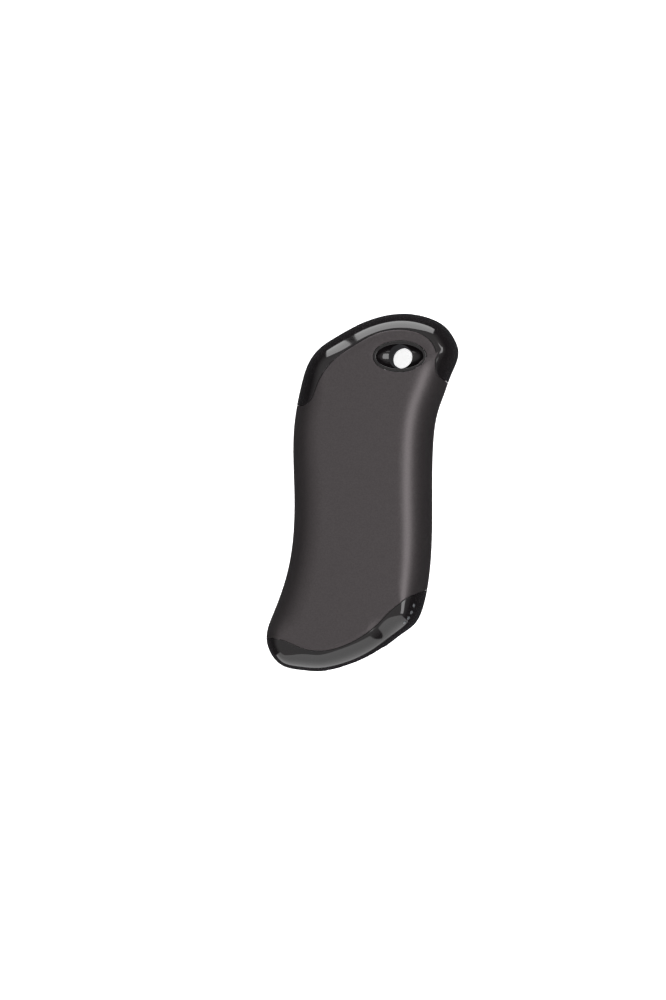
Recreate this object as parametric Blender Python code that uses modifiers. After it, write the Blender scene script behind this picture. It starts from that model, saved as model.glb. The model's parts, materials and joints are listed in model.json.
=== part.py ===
"""A rechargeable hand warmer with two cells side by side, modelled piece by piece in metres.

It lies on its back. +Z is the normal of its front, +Y runs to the end with the lanyard hole, and +X
is to the right when the front is seen. The origin is under the middle of the outline.
"""

import math

import bmesh
import bpy
import numpy as np
from mathutils import Matrix, Vector

# Body
LENGTH = 0.1192
WIDTH = 0.0503
THICKNESS = 0.026
EDGE_ROUNDING = 0.0105  # how far the rounded edge reaches in from the outline
CORNER_AVERAGE = 0.016  # length of outline over which its bend is averaged for the rounding
SKIN = 0.0009
WALL = 0.0015
GAP = 0.0003  # between pieces that touch or nest
OVERRUN = 0.006  # how far a cut runs past what it cuts
WELD = 0.00001  # points this close become one

# Seam between the housings
LIP_WALL = 0.0006
LIP_HEIGHT = 0.0010

# Lanyard eyelet, its long side turned a little from +X
EYELET_LONG = 0.0171
EYELET_SHORT = 0.0099
EYELET_LEAN = math.radians(8)
EYELET_RIM = 0.0010
EYELET_FLANGE = 0.0018
EYELET_STEP = 0.0006  # how far the flange stands out from the body below it
EYELET_BODY_DEPTH = 0.0050
BOWL_DEPTH = 0.0040
BORE = 0.0066
SLEEVE_WALL = 0.0009

# Cells, strips and heating layers
CELL_SIDE_ROOM = 0.0133  # of the width, what the walls and the rounded edges take
EYELET_TO_CELLS = 0.0113  # from the eyelet's middle down to the cells
PORT_TO_CELLS = 0.0218  # from the lower edge at the sockets up to the cells
BUTTON_TO_CELLS = 0.0055
CELL_SPACE = 0.0004
CELL_LEAN = math.radians(5)
CELL_GROOVE = 0.0005
CELL_GROOVE_DROP = 0.0030
CELL_NUB_RADIUS = 0.0030
CELL_NUB = 0.0010
STRIP = 0.0003
STRIP_END = 0.0045  # how far a strip reaches past a cell's axis
FILM = 0.0003
FILM_PAST_CELLS = 0.0028
PAD_LEAST = 0.00175

# Board and what stands on it
BOARD = 0.0010
BOARD_PAST_CELLS = 0.0009
CHIP_HEIGHT = 0.0010
CONTROLLER_SIDE = 0.0044
CHARGER_SIDE = 0.0040
INDUCTOR_SIDE = 0.0055
INDUCTOR_HEIGHT = 0.0030
CAPACITOR_RADIUS = 0.0020
CAPACITOR_HEIGHT = 0.0045
CAPACITOR_PAST_CELLS = 0.0053
COMPONENT_SPACE = 0.0010  # between the sockets and what stands beside them
COMPONENT_BEVEL = 0.0002

# Sockets on the slanted lower edge
PORT_DEPTH = 0.0024  # from the outline to the mouths
PORT_POCKET = 0.0009
PORT_MARGIN = 0.0009  # of the pocket round the sockets
PORT_SPACE = 0.0022  # between the sockets
PORT_SPLIT = 0.0017  # from the port axis to the middle of that space
PORT_CORNER = 0.0006
USB_WIDTH = 0.0131
USB_HEIGHT = 0.0057
USB_DEPTH = 0.0135
USB_SHEET = 0.00035
USB_TONGUE = 0.0018
USB_TONGUE_LENGTH = 0.0085
USB_TONGUE_RISE = 0.0011
MICRO_WIDTH = 0.0076
MICRO_HEIGHT = 0.0029
MICRO_DEPTH = 0.0056
MICRO_SHEET = 0.0003
MICRO_TONGUE = 0.0006
MICRO_TONGUE_LENGTH = 0.0030
MICRO_TONGUE_RISE = 0.0003

# Power button and its switch
BUTTON_LENGTH = 0.0082
BUTTON_HEIGHT = 0.0050
BUTTON_DEPTH = 0.0030
BUTTON_FLANGE = 0.0007
BUTTON_FLANGE_DEPTH = 0.0007
BUTTON_TRAVEL = 0.0004
BUTTON_CORNER = 0.0008
SWITCH_LENGTH = 0.0048
SWITCH_HEIGHT = 0.0036
SWITCH_DEPTH = 0.0024
PLUNGER_RADIUS = 0.0011
PLUNGER_DEPTH = 0.0012

# Lights
LIGHT_COUNT = 4
LIGHT_SPACING = 0.0024
LIGHT_RADIUS = 0.0006
LIGHT_INSET = 0.0024  # from the outline to a light, seen from the front
LIGHT_PIN = 0.0052
GUIDE_NEAR = 0.0062
GUIDE_DEPTH = 0.0036
GUIDE_HEIGHT = 0.0058
GUIDE_END = 0.0006
LED_SIDE = 0.0014
LED_SPACING = 0.0020
LED_HEIGHT = 0.0010

# Screws
SCREW_RADIUS = 0.0010
SCREW_HEAD_RADIUS = 0.0018
SCREW_HEAD = 0.0014
SCREW_SUNK = 0.0012  # from the floor under the skin down to a head
SCREW_CHAMFER = 0.0005
SCREW_BITE = 0.0060
SCREW_TIP = 0.0008
SCREW_TIP_RADIUS = 0.0003
BOSS_RADIUS = 0.0026

# Leads
LEAD_RADIUS = 0.0006
LEAD_ACROSS = 0.0040
LEAD_END = 0.0015  # the straight stretch at an end
HEATER_LEAD_RADIUS = 0.0005
HEATER_LEAD_ACROSS = 0.0020
HEATER_LEAD_END = 0.0018
HEATER_LEAD_SWAY = 0.0006

# Places, as shares
OUTLINE_SHARES = (
    (0.220, 0.997), (0.534, 0.992), (0.753, 0.958), (0.888, 0.902), (0.968, 0.838), (0.920, 0.702),
    (0.861, 0.586), (0.821, 0.505), (0.816, 0.313), (0.999, -0.459), (0.974, -0.576), (0.908, -0.659),
    (0.738, -0.734), (0.596, -0.797), (0.023, -0.959), (-0.228, -0.992), (-0.487, -1.000),
    (-0.700, -0.992), (-0.969, -0.854), (-0.930, -0.714), (-0.821, -0.471), (-0.883, -0.034),
    (-0.995, 0.290), (-0.979, 0.538), (-0.918, 0.668), (-0.790, 0.758), (-0.627, 0.819),
    (-0.433, 0.882),
)
TOP_PARTING_SHARES = (
    (-0.990, 0.423), (-0.874, 0.426), (-0.795, 0.451), (-0.735, 0.524), (-0.604, 0.658),
    (-0.294, 0.790), (-0.054, 0.861), (0.181, 0.894), (0.413, 0.896), (0.620, 0.861),
    (0.719, 0.799), (0.733, 0.733), (0.771, 0.688), (0.894, 0.658),
)
BOTTOM_PARTING_SHARES = (
    (-0.949, -0.847), (-0.768, -0.835), (-0.657, -0.842), (-0.493, -0.861), (-0.304, -0.870),
    (-0.150, -0.860), (0.185, -0.790), (0.326, -0.742), (0.462, -0.681), (0.593, -0.604),
    (0.699, -0.555), (0.795, -0.517), (0.940, -0.481),
)
EYELET_SHARE = (0.272, 0.756)
PORT_SHARE = 0.446  # of the way round the outline, clockwise from its first point
BUTTON_SHARE = 0.370
LIGHT_SHARE = 0.359
SCREW_SHARES = (  # end of the cells, sideways of half the width, past the cells of a boss radius
    (1, -0.217, 2.90), (1, 0.660, 1.25), (-1, -0.760, 4.70), (-1, 0.215, 2.60),
)
CAPACITOR_SHARE = 0.755  # of half the width
STRIP_SHARE = 0.30  # of a cell's diameter
FILM_SHARE = 0.905  # of the rounding's reach, from the outline to the heater film

# Fineness
SPAN_POINTS = 24
OUTLINE_POINTS = 720
LONGEST_FACET = 0.011
LARGEST_TURN = math.radians(13)
ROUNDING_STEPS = 5
HIDDEN_ROUNDING_STEPS = 4
ROUND_STEPS = 24
OVAL_STEPS = 38
BEVEL_STEPS = 1
SMALL_STEPS = 14
LEAD_STEPS = 2
LEAD_SPAN_POINTS = 4
SHARP_TURN = math.radians(35)  # an edge that turns more than this is shown sharp

MIDDLE = THICKNESS / 2
INSIDE = SKIN + GAP + WALL  # from the outside to the hollow of the housings
SEAM = GAP / 2
USB_SIDE = PORT_SPLIT - PORT_SPACE / 2  # the side that the larger socket turns to the smaller
USB_ACROSS = USB_SIDE - USB_WIDTH / 2
MICRO_ACROSS = PORT_SPLIT + (PORT_SPACE + MICRO_WIDTH) / 2
CELL_DIAMETER = min(  # the widest pair that fits the width and the depth
    (WIDTH - CELL_SIDE_ROOM - CELL_SPACE) / 2,
    THICKNESS - 2 * (SKIN + FILM + PAD_LEAST + 3 * GAP),
)
STRIP_HEIGHT = STRIP_SHARE * CELL_DIAMETER
CUT_FOOT = THICKNESS / 4  # from the middle plane to the foot of a cut through one side
FRONT = 1
REAR = -1


def collection(name):
    made = bpy.data.collections.new(name)
    bpy.context.scene.collection.children.link(made)
    return made


def material(name, colour, roughness, metallic=0.0):
    made = bpy.data.materials.new(name)
    made.use_nodes = True
    shader = made.node_tree.nodes["Principled BSDF"]
    shader.inputs["Base Color"].default_value = (*colour, 1.0)
    shader.inputs["Roughness"].default_value = roughness
    shader.inputs["Metallic"].default_value = metallic
    return made


def clear_scene():
    for thing in list(bpy.data.objects):
        bpy.data.objects.remove(thing)


clear_scene()
PARTS = collection("rechargeable_hand_warmer")
CUTTERS = collection("cutters")
MATERIALS = {
    "satin_aluminium": material("satin_aluminium", (0.035, 0.034, 0.036), 0.42, 0.85),
    "gloss_black": material("gloss_black", (0.008, 0.008, 0.009), 0.10),
    "film": material("film", (0.42, 0.20, 0.05), 0.35),
    "foam": material("foam", (0.55, 0.57, 0.60), 0.95),
    "cell_wrap": material("cell_wrap", (0.03, 0.22, 0.32), 0.35),
    "nickel": material("nickel", (0.62, 0.60, 0.56), 0.30, 1.0),
    "board": material("board", (0.01, 0.12, 0.05), 0.45),
    "steel": material("steel", (0.60, 0.60, 0.60), 0.28, 1.0),
    "socket_plastic": material("socket_plastic", (0.02, 0.02, 0.02), 0.50),
    "chip": material("chip", (0.02, 0.02, 0.022), 0.55),
    "light": material("light", (0.80, 0.82, 0.80), 0.25),
    "red_insulation": material("red_insulation", (0.50, 0.02, 0.02), 0.45),
    "black_insulation": material("black_insulation", (0.02, 0.02, 0.02), 0.45),
}


def add(name, mesh, finish):
    """A new object: a part with its own finish or, with none, a cutter."""
    made = bpy.data.objects.new(name, mesh)
    if finish:
        PARTS.objects.link(made)
        mesh.materials.append(MATERIALS[finish])
    else:
        CUTTERS.objects.link(made)
        made.hide_render = True
        made.display_type = "WIRE"
    return made


def place(made, parent=None, location=(0.0, 0.0, 0.0), rotation=(0.0, 0.0, 0.0)):
    made.parent = parent
    made.location = location
    made.rotation_euler = rotation
    return made


def smooth(mesh):
    mesh.shade_smooth()
    mesh.set_sharp_from_angle(angle=SHARP_TURN)


def boolean(made, cutter, operation="DIFFERENCE"):
    step = made.modifiers.new(f"{operation.lower()} {cutter.name}", "BOOLEAN")
    step.object = cutter
    step.operation = operation
    step.solver = "EXACT"


def box(name, size, finish=None, bevel=0.0):
    """A box about its own origin, with rounded edges where a bevel is given."""
    mesh = bpy.data.meshes.new(name)
    cage = bmesh.new()
    bmesh.ops.create_cube(cage, size=1.0, matrix=Matrix.Diagonal((*size, 1.0)))
    cage.to_mesh(mesh)
    cage.free()
    made = add(name, mesh, finish)
    if bevel:
        rounding = made.modifiers.new("rounded edges", "BEVEL")
        rounding.width = bevel
        rounding.segments = BEVEL_STEPS
    return made


def post(name, radius, low, high, finish=None, steps=ROUND_STEPS, stretch=1.0, taper=1.0):
    """A round post along its own Z, longer along X by a stretch and wider at the top by a taper."""
    mesh = bpy.data.meshes.new(name)
    cage = bmesh.new()
    bmesh.ops.create_cone(
        cage, cap_ends=True, segments=steps, radius1=radius, radius2=radius * taper, depth=high - low
    )
    bmesh.ops.translate(cage, verts=cage.verts, vec=(0.0, 0.0, (low + high) / 2))
    bmesh.ops.scale(cage, verts=cage.verts, vec=(stretch, 1.0, 1.0))
    cage.to_mesh(mesh)
    cage.free()
    smooth(mesh)
    return add(name, mesh, finish)


def ellipsoid(name, radii):
    mesh = bpy.data.meshes.new(name)
    cage = bmesh.new()
    bmesh.ops.create_uvsphere(
        cage, u_segments=ROUND_STEPS, v_segments=SMALL_STEPS, radius=1.0,
        matrix=Matrix.Diagonal((*radii, 1.0)),
    )
    cage.to_mesh(mesh)
    cage.free()
    return add(name, mesh, None)


def turned(name, profile, finish, steps=ROUND_STEPS):
    """A profile of (radius, height) points, listed from top to bottom, turned about its own Z."""
    mesh = bpy.data.meshes.new(name)
    points = [(radius, 0.0, height) for radius, height in profile]
    mesh.from_pydata(points, [(n, n + 1) for n in range(len(points) - 1)], [])
    made = add(name, mesh, finish)
    turn = made.modifiers.new("turned about its axis", "SCREW")
    turn.steps = turn.render_steps = steps
    turn.use_merge_vertices = True
    turn.merge_threshold = WELD
    return made


def mesh_of_curve(made, finish):
    """The same shape as a mesh, with its caps joined on."""
    graph = bpy.context.evaluated_depsgraph_get()
    mesh = bpy.data.meshes.new_from_object(made.evaluated_get(graph))
    cage = bmesh.new()
    cage.from_mesh(mesh)
    bmesh.ops.remove_doubles(cage, verts=cage.verts, dist=WELD)
    cage.to_mesh(mesh)
    cage.free()
    mesh.materials.clear()
    solid = add(made.name + " solid", mesh, finish)
    solid.matrix_world = made.matrix_world
    name = made.name
    bpy.data.objects.remove(made)
    solid.name = name
    return solid


def plate(name, outline, low, high, finish=None):
    """A flat plate with the given outline between two heights."""
    curve = bpy.data.curves.new(name, "CURVE")
    curve.dimensions = "2D"
    curve.fill_mode = "BOTH"
    curve.extrude = (high - low) / 2
    loop = curve.splines.new("POLY")
    loop.points.add(len(outline) - 1)
    for point, (x, y) in zip(loop.points, outline):
        point.co = (x, y, 0.0, 1.0)
    loop.use_cyclic_u = True
    made = bpy.data.objects.new(name, curve)
    CUTTERS.objects.link(made)
    made.location = (0.0, 0.0, (low + high) / 2)
    bpy.context.view_layer.update()
    return mesh_of_curve(made, finish)


def tube(name, points, radius, finish, parent):
    """A lead with filled ends along the smooth path through the points."""
    points = spline(points, span_points=LEAD_SPAN_POINTS)
    curve = bpy.data.curves.new(name, "CURVE")
    curve.dimensions = "3D"
    curve.bevel_depth = radius
    curve.bevel_resolution = LEAD_STEPS
    curve.use_fill_caps = True
    path = curve.splines.new("POLY")
    path.points.add(len(points) - 1)
    for point, spot in zip(path.points, points):
        point.co = (*spot, 1.0)
    curve.materials.append(MATERIALS[finish])
    made = bpy.data.objects.new(name, curve)
    PARTS.objects.link(made)
    return place(made, parent)


def spline(points, closed=False, span_points=SPAN_POINTS):
    """Close points along the cubic spline that passes through the given ones."""
    points = np.asarray(points, float)
    count = len(points)
    chords = np.roll(points, -1, axis=0) - points
    steps = np.linalg.norm(chords, axis=1)
    system = np.zeros((count, count))
    right = np.zeros(points.shape)
    for here in range(count):
        before = here - 1
        after = (here + 1) % count
        if not closed and here in (0, count - 1):
            inner = 1 if here == 0 else count - 2
            span = min(here, inner)
            system[here, here] = 2.0
            system[here, inner] = 1.0
            right[here] = 3 * chords[span] / steps[span]
            continue
        system[here, before] += steps[here]
        system[here, here] += 2 * (steps[before] + steps[here])
        system[here, after] += steps[before]
        right[here] = 3 * (
            steps[here] * chords[before] / steps[before] + steps[before] * chords[here] / steps[here]
        )
    slopes = np.linalg.solve(system, right)
    share = np.arange(span_points)[:, None] / span_points
    dense = []
    for here in range(count if closed else count - 1):
        after = (here + 1) % count
        dense.append(
            (1 + 2 * share) * (1 - share) ** 2 * points[here]
            + share**2 * (3 - 2 * share) * points[after]
            + steps[here] * share * (1 - share) ** 2 * slopes[here]
            + steps[here] * share**2 * (share - 1) * slopes[after]
        )
    if not closed:
        dense.append(points[-1:])
    return np.concatenate(dense)


def turning(points, closed):
    """The change of direction at each point, positive to the right."""
    along = np.roll(points, -1, axis=0) - points
    heading = np.arctan2(along[:, 1], along[:, 0])
    change = np.roll(heading, 1) - heading
    change = (change + math.pi) % (2 * math.pi) - math.pi
    if not closed:
        change[0] = change[-2:] = 0.0
    return change


def picks(points, closed):
    """Which points to keep, so that no facet is too long and none turns too far."""
    steps = np.linalg.norm(np.roll(points, -1, axis=0) - points, axis=1)
    if not closed:
        steps[-1] = 0.0
    cost = np.cumsum(steps / LONGEST_FACET + np.abs(turning(points, closed)) / LARGEST_TURN)
    count = math.ceil(cost[-1])
    wanted = cost[-1] * np.arange(count) / count
    if not closed:
        wanted = cost[-1] * np.arange(count + 1) / count
    return np.unique(np.searchsorted(cost, wanted).clip(0, len(points) - 1))


def evenly(points, count):
    """The closed path read again at equal steps."""
    closed = np.vstack([points, points[:1]])
    run = np.concatenate([[0.0], np.cumsum(np.linalg.norm(np.diff(closed, axis=0), axis=1))])
    wanted = run[-1] * np.arange(count) / count
    return np.stack([np.interp(wanted, run, closed[:, column]) for column in range(2)], axis=1)


def averaged(values, reach):
    """The values round a closed path, each averaged with its neighbours on both sides."""
    window = np.hanning(2 * reach + 3)[1:-1]
    padded = np.concatenate([values[-reach:], values, values[:reach]])
    return np.convolve(padded, window / window.sum(), "valid")


def body_outline():
    """The outline at the middle plane, its inward normals and the reach of the rounding, all round."""
    half = np.array([WIDTH, LENGTH]) / 2
    dense = spline(np.array(OUTLINE_SHARES) * half, closed=True)
    middle = (dense.max(axis=0) + dense.min(axis=0)) / 2
    dense = (dense - middle) * 2 * half / (dense.max(axis=0) - dense.min(axis=0))
    points = evenly(dense, OUTLINE_POINTS)
    along = np.roll(points, -1, axis=0) - np.roll(points, 1, axis=0)
    along /= np.linalg.norm(along, axis=1)[:, None]
    inward = np.stack([along[:, 1], -along[:, 0]], axis=1)
    step = np.linalg.norm(points[1] - points[0])
    bend = averaged(turning(points, closed=True) / step, round(CORNER_AVERAGE / step / 2))
    reach = EDGE_ROUNDING / (1 + EDGE_ROUNDING * bend.clip(0.0, None))
    return points, inward, averaged(reach, round(CORNER_AVERAGE / step / 4))


OUTLINE, INWARD, REACH = body_outline()
PICKED = picks(OUTLINE, closed=True)


def inset_outline(inset):
    return (OUTLINE + INWARD * inset)[PICKED]


def flat_outline(share, grown=0.0):
    """The line at a share of the rounding's reach from the outline, or a little outside it."""
    return (OUTLINE + INWARD * (REACH * share - grown)[:, None])[PICKED]


def station(share, inset=0.0):
    """A point of the outline at a share of the way round, and its inward direction."""
    index = round(share * OUTLINE_POINTS) % OUTLINE_POINTS
    return Vector(OUTLINE[index] + INWARD[index] * inset), Vector(INWARD[index])


def facing(direction):
    """The turn about Z that points local +Y in a direction."""
    return math.atan2(-direction.x, direction.y)


def half_body(name, side, inset, floor, finish=None):
    """The body on one side of the middle plane, set in all over, as rings up to its flat face."""
    edge = inset_outline(inset)
    flat = flat_outline(1.0)
    height = THICKNESS / 2 - inset
    levels = [(edge, floor)] if floor >= 0 else [(edge, floor), (edge, 0.0)]
    steps = HIDDEN_ROUNDING_STEPS if inset else ROUNDING_STEPS
    for step in range(1, steps + 1):
        angle = math.pi / 2 * step / steps
        levels.append((flat + (edge - flat) * math.cos(angle), height * math.sin(angle)))
    rings = [[(x, y, MIDDLE + side * level) for x, y in plan] for plan, level in levels]
    count = len(edge)
    faces = [tuple(range(count)), tuple(range(len(rings) * count - 1, (len(rings) - 1) * count - 1, -1))]
    for ring in range(len(rings) - 1):
        for here in range(count):
            after = (here + 1) % count
            low = ring * count
            high = low + count
            faces.append((low + here, high + here, high + after, low + after))
    mesh = bpy.data.meshes.new(name)
    mesh.from_pydata([point for ring in rings for point in ring], [], faces)
    cage = bmesh.new()
    cage.from_mesh(mesh)
    bmesh.ops.recalc_face_normals(cage, faces=cage.faces)
    cage.to_mesh(mesh)
    cage.free()
    smooth(mesh)
    return add(name, mesh, finish)


def parting(shares, sideways):
    """A parting line across the body, run past both sides and moved to the left of its direction."""
    path = spline(np.array(shares) * np.array([WIDTH, LENGTH]) / 2)
    path = path[picks(path, closed=False)]
    first = path[0] + (path[0] - path[1]) / np.linalg.norm(path[0] - path[1]) * OVERRUN
    last = path[-1] + (path[-1] - path[-2]) / np.linalg.norm(path[-1] - path[-2]) * OVERRUN
    path = np.vstack([first, path, last])
    along = np.gradient(path, axis=0)
    along /= np.linalg.norm(along, axis=1)[:, None]
    return path + np.stack([-along[:, 1], along[:, 0]], axis=1) * sideways


def skin_region(name, side, grown):
    """The block of the body that a skin covers, between the two parting lines."""
    top = parting(TOP_PARTING_SHARES, grown)
    bottom = parting(BOTTOM_PARTING_SHARES, -grown)
    heights = sorted((MIDDLE - side * OVERRUN, MIDDLE + side * (THICKNESS / 2 + OVERRUN)))
    return plate(name, np.vstack([top, bottom[::-1]]), *heights)


def eyelet_post(name, side, grown, top, bottom, long_side, short_side):
    """An oval post along the lanyard hole between two distances from the middle plane."""
    heights = sorted((MIDDLE + side * bottom, MIDDLE + side * top))
    oval = post(
        name, short_side / 2 + grown, *heights,
        stretch=(long_side / 2 + grown) / (short_side / 2 + grown), steps=OVAL_STEPS,
    )
    return place(oval, EYELET_AXIS)


def axis(name, location, turn=0.0):
    """An empty that carries the pieces along one axis of the product."""
    made = bpy.data.objects.new(name, None)
    PARTS.objects.link(made)
    return place(made, None, location, (0.0, 0.0, turn))


PORT_POINT, PORT_INWARD = station(PORT_SHARE)
BUTTON_POINT, BUTTON_INWARD = station(BUTTON_SHARE)
EYELET_PLACE = (EYELET_SHARE[0] * WIDTH / 2, EYELET_SHARE[1] * LENGTH / 2, 0.0)
EYELET_AXIS = axis("lanyard_axis", EYELET_PLACE, EYELET_LEAN)
CELLS_TOP = EYELET_PLACE[1] - EYELET_TO_CELLS
CELLS_FOOT = max(PORT_POINT.y + PORT_TO_CELLS, BUTTON_POINT.y + BUTTON_TO_CELLS)
CELL_LENGTH = CELLS_TOP - CELLS_FOOT
CELL_AXIS = axis("cell_axis", (0.0, (CELLS_TOP + CELLS_FOOT) / 2, MIDDLE), CELL_LEAN)
PORT_AXIS = axis("port_axis", (*PORT_POINT, MIDDLE), facing(PORT_INWARD))
BUTTON_AXIS = axis("button_axis", (*BUTTON_POINT, MIDDLE), facing(BUTTON_INWARD))


def screw_places():
    """Each screw's end of the cells, and its place about the cells."""
    places = []
    for end, sideways, past in SCREW_SHARES:
        places.append((end, sideways * WIDTH / 2, end * (CELL_LENGTH / 2 + past * BOSS_RADIUS)))
    return places


def light_places():
    """Each light's share of the way round the outline."""
    length = np.linalg.norm(OUTLINE[1] - OUTLINE[0]) * OUTLINE_POINTS
    return [LIGHT_SHARE + n * LIGHT_SPACING / length for n in range(LIGHT_COUNT)]


def light_axis(number, share):
    """An empty on the rounded edge, its +Z along the surface's own normal."""
    index = round(share * OUTLINE_POINTS) % OUTLINE_POINTS
    point, inward = station(share, LIGHT_INSET)
    lean = math.acos(1 - LIGHT_INSET / REACH[index])
    outward = Vector((
        -inward.x * THICKNESS / 2 * math.cos(lean),
        -inward.y * THICKNESS / 2 * math.cos(lean),
        REACH[index] * math.sin(lean),
    ))
    made = bpy.data.objects.new(f"light_axis_{number}", None)
    PARTS.objects.link(made)
    made.location = (*point, MIDDLE + THICKNESS / 2 * math.sin(lean))
    made.rotation_euler = outward.to_track_quat("Z", "Y").to_euler()
    return made


def film_region(name, side, grown, past, low, high):
    """The plan of a heating layer: the flat of the body, ended just past the cells."""
    heights = sorted((MIDDLE + side * low, MIDDLE + side * high))
    made = plate(name, flat_outline(FILM_SHARE, grown), *heights)
    limit = box(name + " limit", (2 * WIDTH, CELL_LENGTH + 2 * past, 2 * THICKNESS))
    boolean(made, place(limit, CELL_AXIS), "INTERSECT")
    return made


def as_part(made, finish):
    """The cutter becomes a part with a finish."""
    CUTTERS.objects.unlink(made)
    PARTS.objects.link(made)
    made.hide_render = False
    made.display_type = "TEXTURED"
    made.data.materials.append(MATERIALS[finish])
    return made


def build_skin(side, name):
    """A formed metal skin over one side, with its oval hole for the eyelet."""
    made = half_body(name, side, 0.0, SEAM, "satin_aluminium")
    boolean(made, skin_region(f"{name} region", side, 0.0), "INTERSECT")
    boolean(made, half_body(f"{name} inside", side, SKIN, -OVERRUN))
    hole = eyelet_post(
        f"{name} hole", side, GAP, THICKNESS / 2 + OVERRUN, CUT_FOOT, EYELET_LONG, EYELET_SHORT
    )
    boolean(made, hole)


def build_eyelet(side, name):
    """A bezel with a bowl that narrows to the lanyard bore at the middle plane."""
    top = THICKNESS / 2
    made = eyelet_post(name, side, 0.0, top, top - EYELET_FLANGE, EYELET_LONG, EYELET_SHORT)
    as_part(made, "gloss_black")
    body = eyelet_post(
        f"{name} body", side, -EYELET_STEP, top - EYELET_FLANGE / 2, top - EYELET_BODY_DEPTH,
        EYELET_LONG, EYELET_SHORT,
    )
    heights = sorted((MIDDLE + side * SEAM, MIDDLE + side * (top - EYELET_FLANGE)))
    sleeve = post(f"{name} sleeve", BORE / 2 + SLEEVE_WALL, *heights)
    place(sleeve, EYELET_AXIS)
    bowl = ellipsoid(
        f"{name} bowl",
        (EYELET_LONG / 2 - EYELET_RIM, EYELET_SHORT / 2 - EYELET_RIM, BOWL_DEPTH),
    )
    place(bowl, EYELET_AXIS, (0.0, 0.0, MIDDLE + side * top))
    widest = (EYELET_SHORT - 2 * EYELET_RIM) / BORE
    bore = post(f"{name} bore", BORE / 2, 0.0, top, taper=widest)
    turn = 0.0 if side == FRONT else math.pi
    place(bore, EYELET_AXIS, (0.0, 0.0, MIDDLE), (turn, 0.0, 0.0))
    boolean(made, body, "UNION")
    boolean(made, sleeve, "UNION")
    boolean(made, bowl)
    boolean(made, bore)


def add_bosses(made, side):
    """Posts for the screws, which at the lower end also hold the board between them."""
    limit = half_body(f"{made.name} boss limit", side, SKIN + GAP + WALL / 2, 0.0)
    for number, (end, across, along) in enumerate(screw_places(), 1):
        stop = SEAM if end > 0 else BOARD / 2 + GAP
        heights = sorted((side * stop, side * THICKNESS / 2))
        boss = post(f"{made.name} boss {number}", BOSS_RADIUS, *heights, steps=SMALL_STEPS)
        boolean(place(boss, CELL_AXIS, (across, along, 0.0)), limit, "INTERSECT")
        boolean(made, boss, "UNION")


def cut_screw_holes(made, side):
    """Blind bores in the front bosses; through holes with a wider head seat in the rear ones."""
    bore = SCREW_RADIUS + GAP
    head = SCREW_HEAD_RADIUS + GAP
    seat = SKIN + GAP + SCREW_SUNK + SCREW_HEAD - THICKNESS / 2
    bottom = -THICKNESS / 2 - OVERRUN
    blind = [(0.0, SCREW_BITE + GAP), (bore, SCREW_BITE + GAP), (bore, -OVERRUN), (0.0, -OVERRUN)]
    stepped = [(0.0, OVERRUN), (bore, OVERRUN), (bore, seat), (head, seat), (head, bottom), (0.0, bottom)]
    for number, (_, across, along) in enumerate(screw_places(), 1):
        profile = blind if side == FRONT else stepped
        hole = turned(f"{made.name} screw hole {number}", profile, None, SMALL_STEPS)
        boolean(made, place(hole, CELL_AXIS, (across, along, 0.0)))


def cut_ports(made):
    """A flat pocket in the lower edge with an opening for each socket."""
    width = USB_WIDTH + PORT_SPACE + MICRO_WIDTH + 2 * PORT_MARGIN
    height = max(USB_HEIGHT, MICRO_HEIGHT) + 2 * PORT_MARGIN
    pocket = box(f"{made.name} port pocket", (width, 2 * PORT_POCKET, height), bevel=PORT_CORNER)
    middle = PORT_SPLIT + (MICRO_WIDTH - USB_WIDTH) / 2
    boolean(made, place(pocket, PORT_AXIS, (middle, 0.0, 0.0)))
    for name, width, height, across in (
        ("usb", USB_WIDTH, USB_HEIGHT, USB_ACROSS), ("micro", MICRO_WIDTH, MICRO_HEIGHT, MICRO_ACROSS),
    ):
        mouth = box(f"{made.name} {name} mouth", (width + 2 * GAP, 2 * OVERRUN, height + 2 * GAP))
        boolean(made, place(mouth, PORT_AXIS, (across, 0.0, 0.0)))


def cut_button(made):
    """A slot for the button, widened inside for its flange and the flange's travel."""
    slot = box(
        f"{made.name} button slot", (BUTTON_LENGTH + 2 * GAP, 2 * OVERRUN, BUTTON_HEIGHT + 2 * GAP),
        bevel=BUTTON_CORNER,
    )
    boolean(made, place(slot, BUTTON_AXIS))
    seat_depth = BUTTON_DEPTH - BUTTON_FLANGE_DEPTH - GAP
    seat = box(
        f"{made.name} button seat",
        (
            BUTTON_LENGTH + 2 * BUTTON_FLANGE + 2 * GAP, OVERRUN,
            BUTTON_HEIGHT + 2 * BUTTON_FLANGE + 2 * GAP,
        ),
    )
    boolean(made, place(seat, BUTTON_AXIS, (0.0, seat_depth + OVERRUN / 2, 0.0)))


def cut_eyelet(made, side):
    """The oval opening that the eyelet drops into, with a step for its flange."""
    top = THICKNESS / 2
    flange = eyelet_post(
        f"{made.name} eyelet seat", side, GAP, top + OVERRUN, top - EYELET_FLANGE - GAP,
        EYELET_LONG, EYELET_SHORT,
    )
    body = eyelet_post(
        f"{made.name} eyelet hole", side, GAP - EYELET_STEP, top, SEAM, EYELET_LONG, EYELET_SHORT
    )
    boolean(made, flange)
    boolean(made, body)


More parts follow.
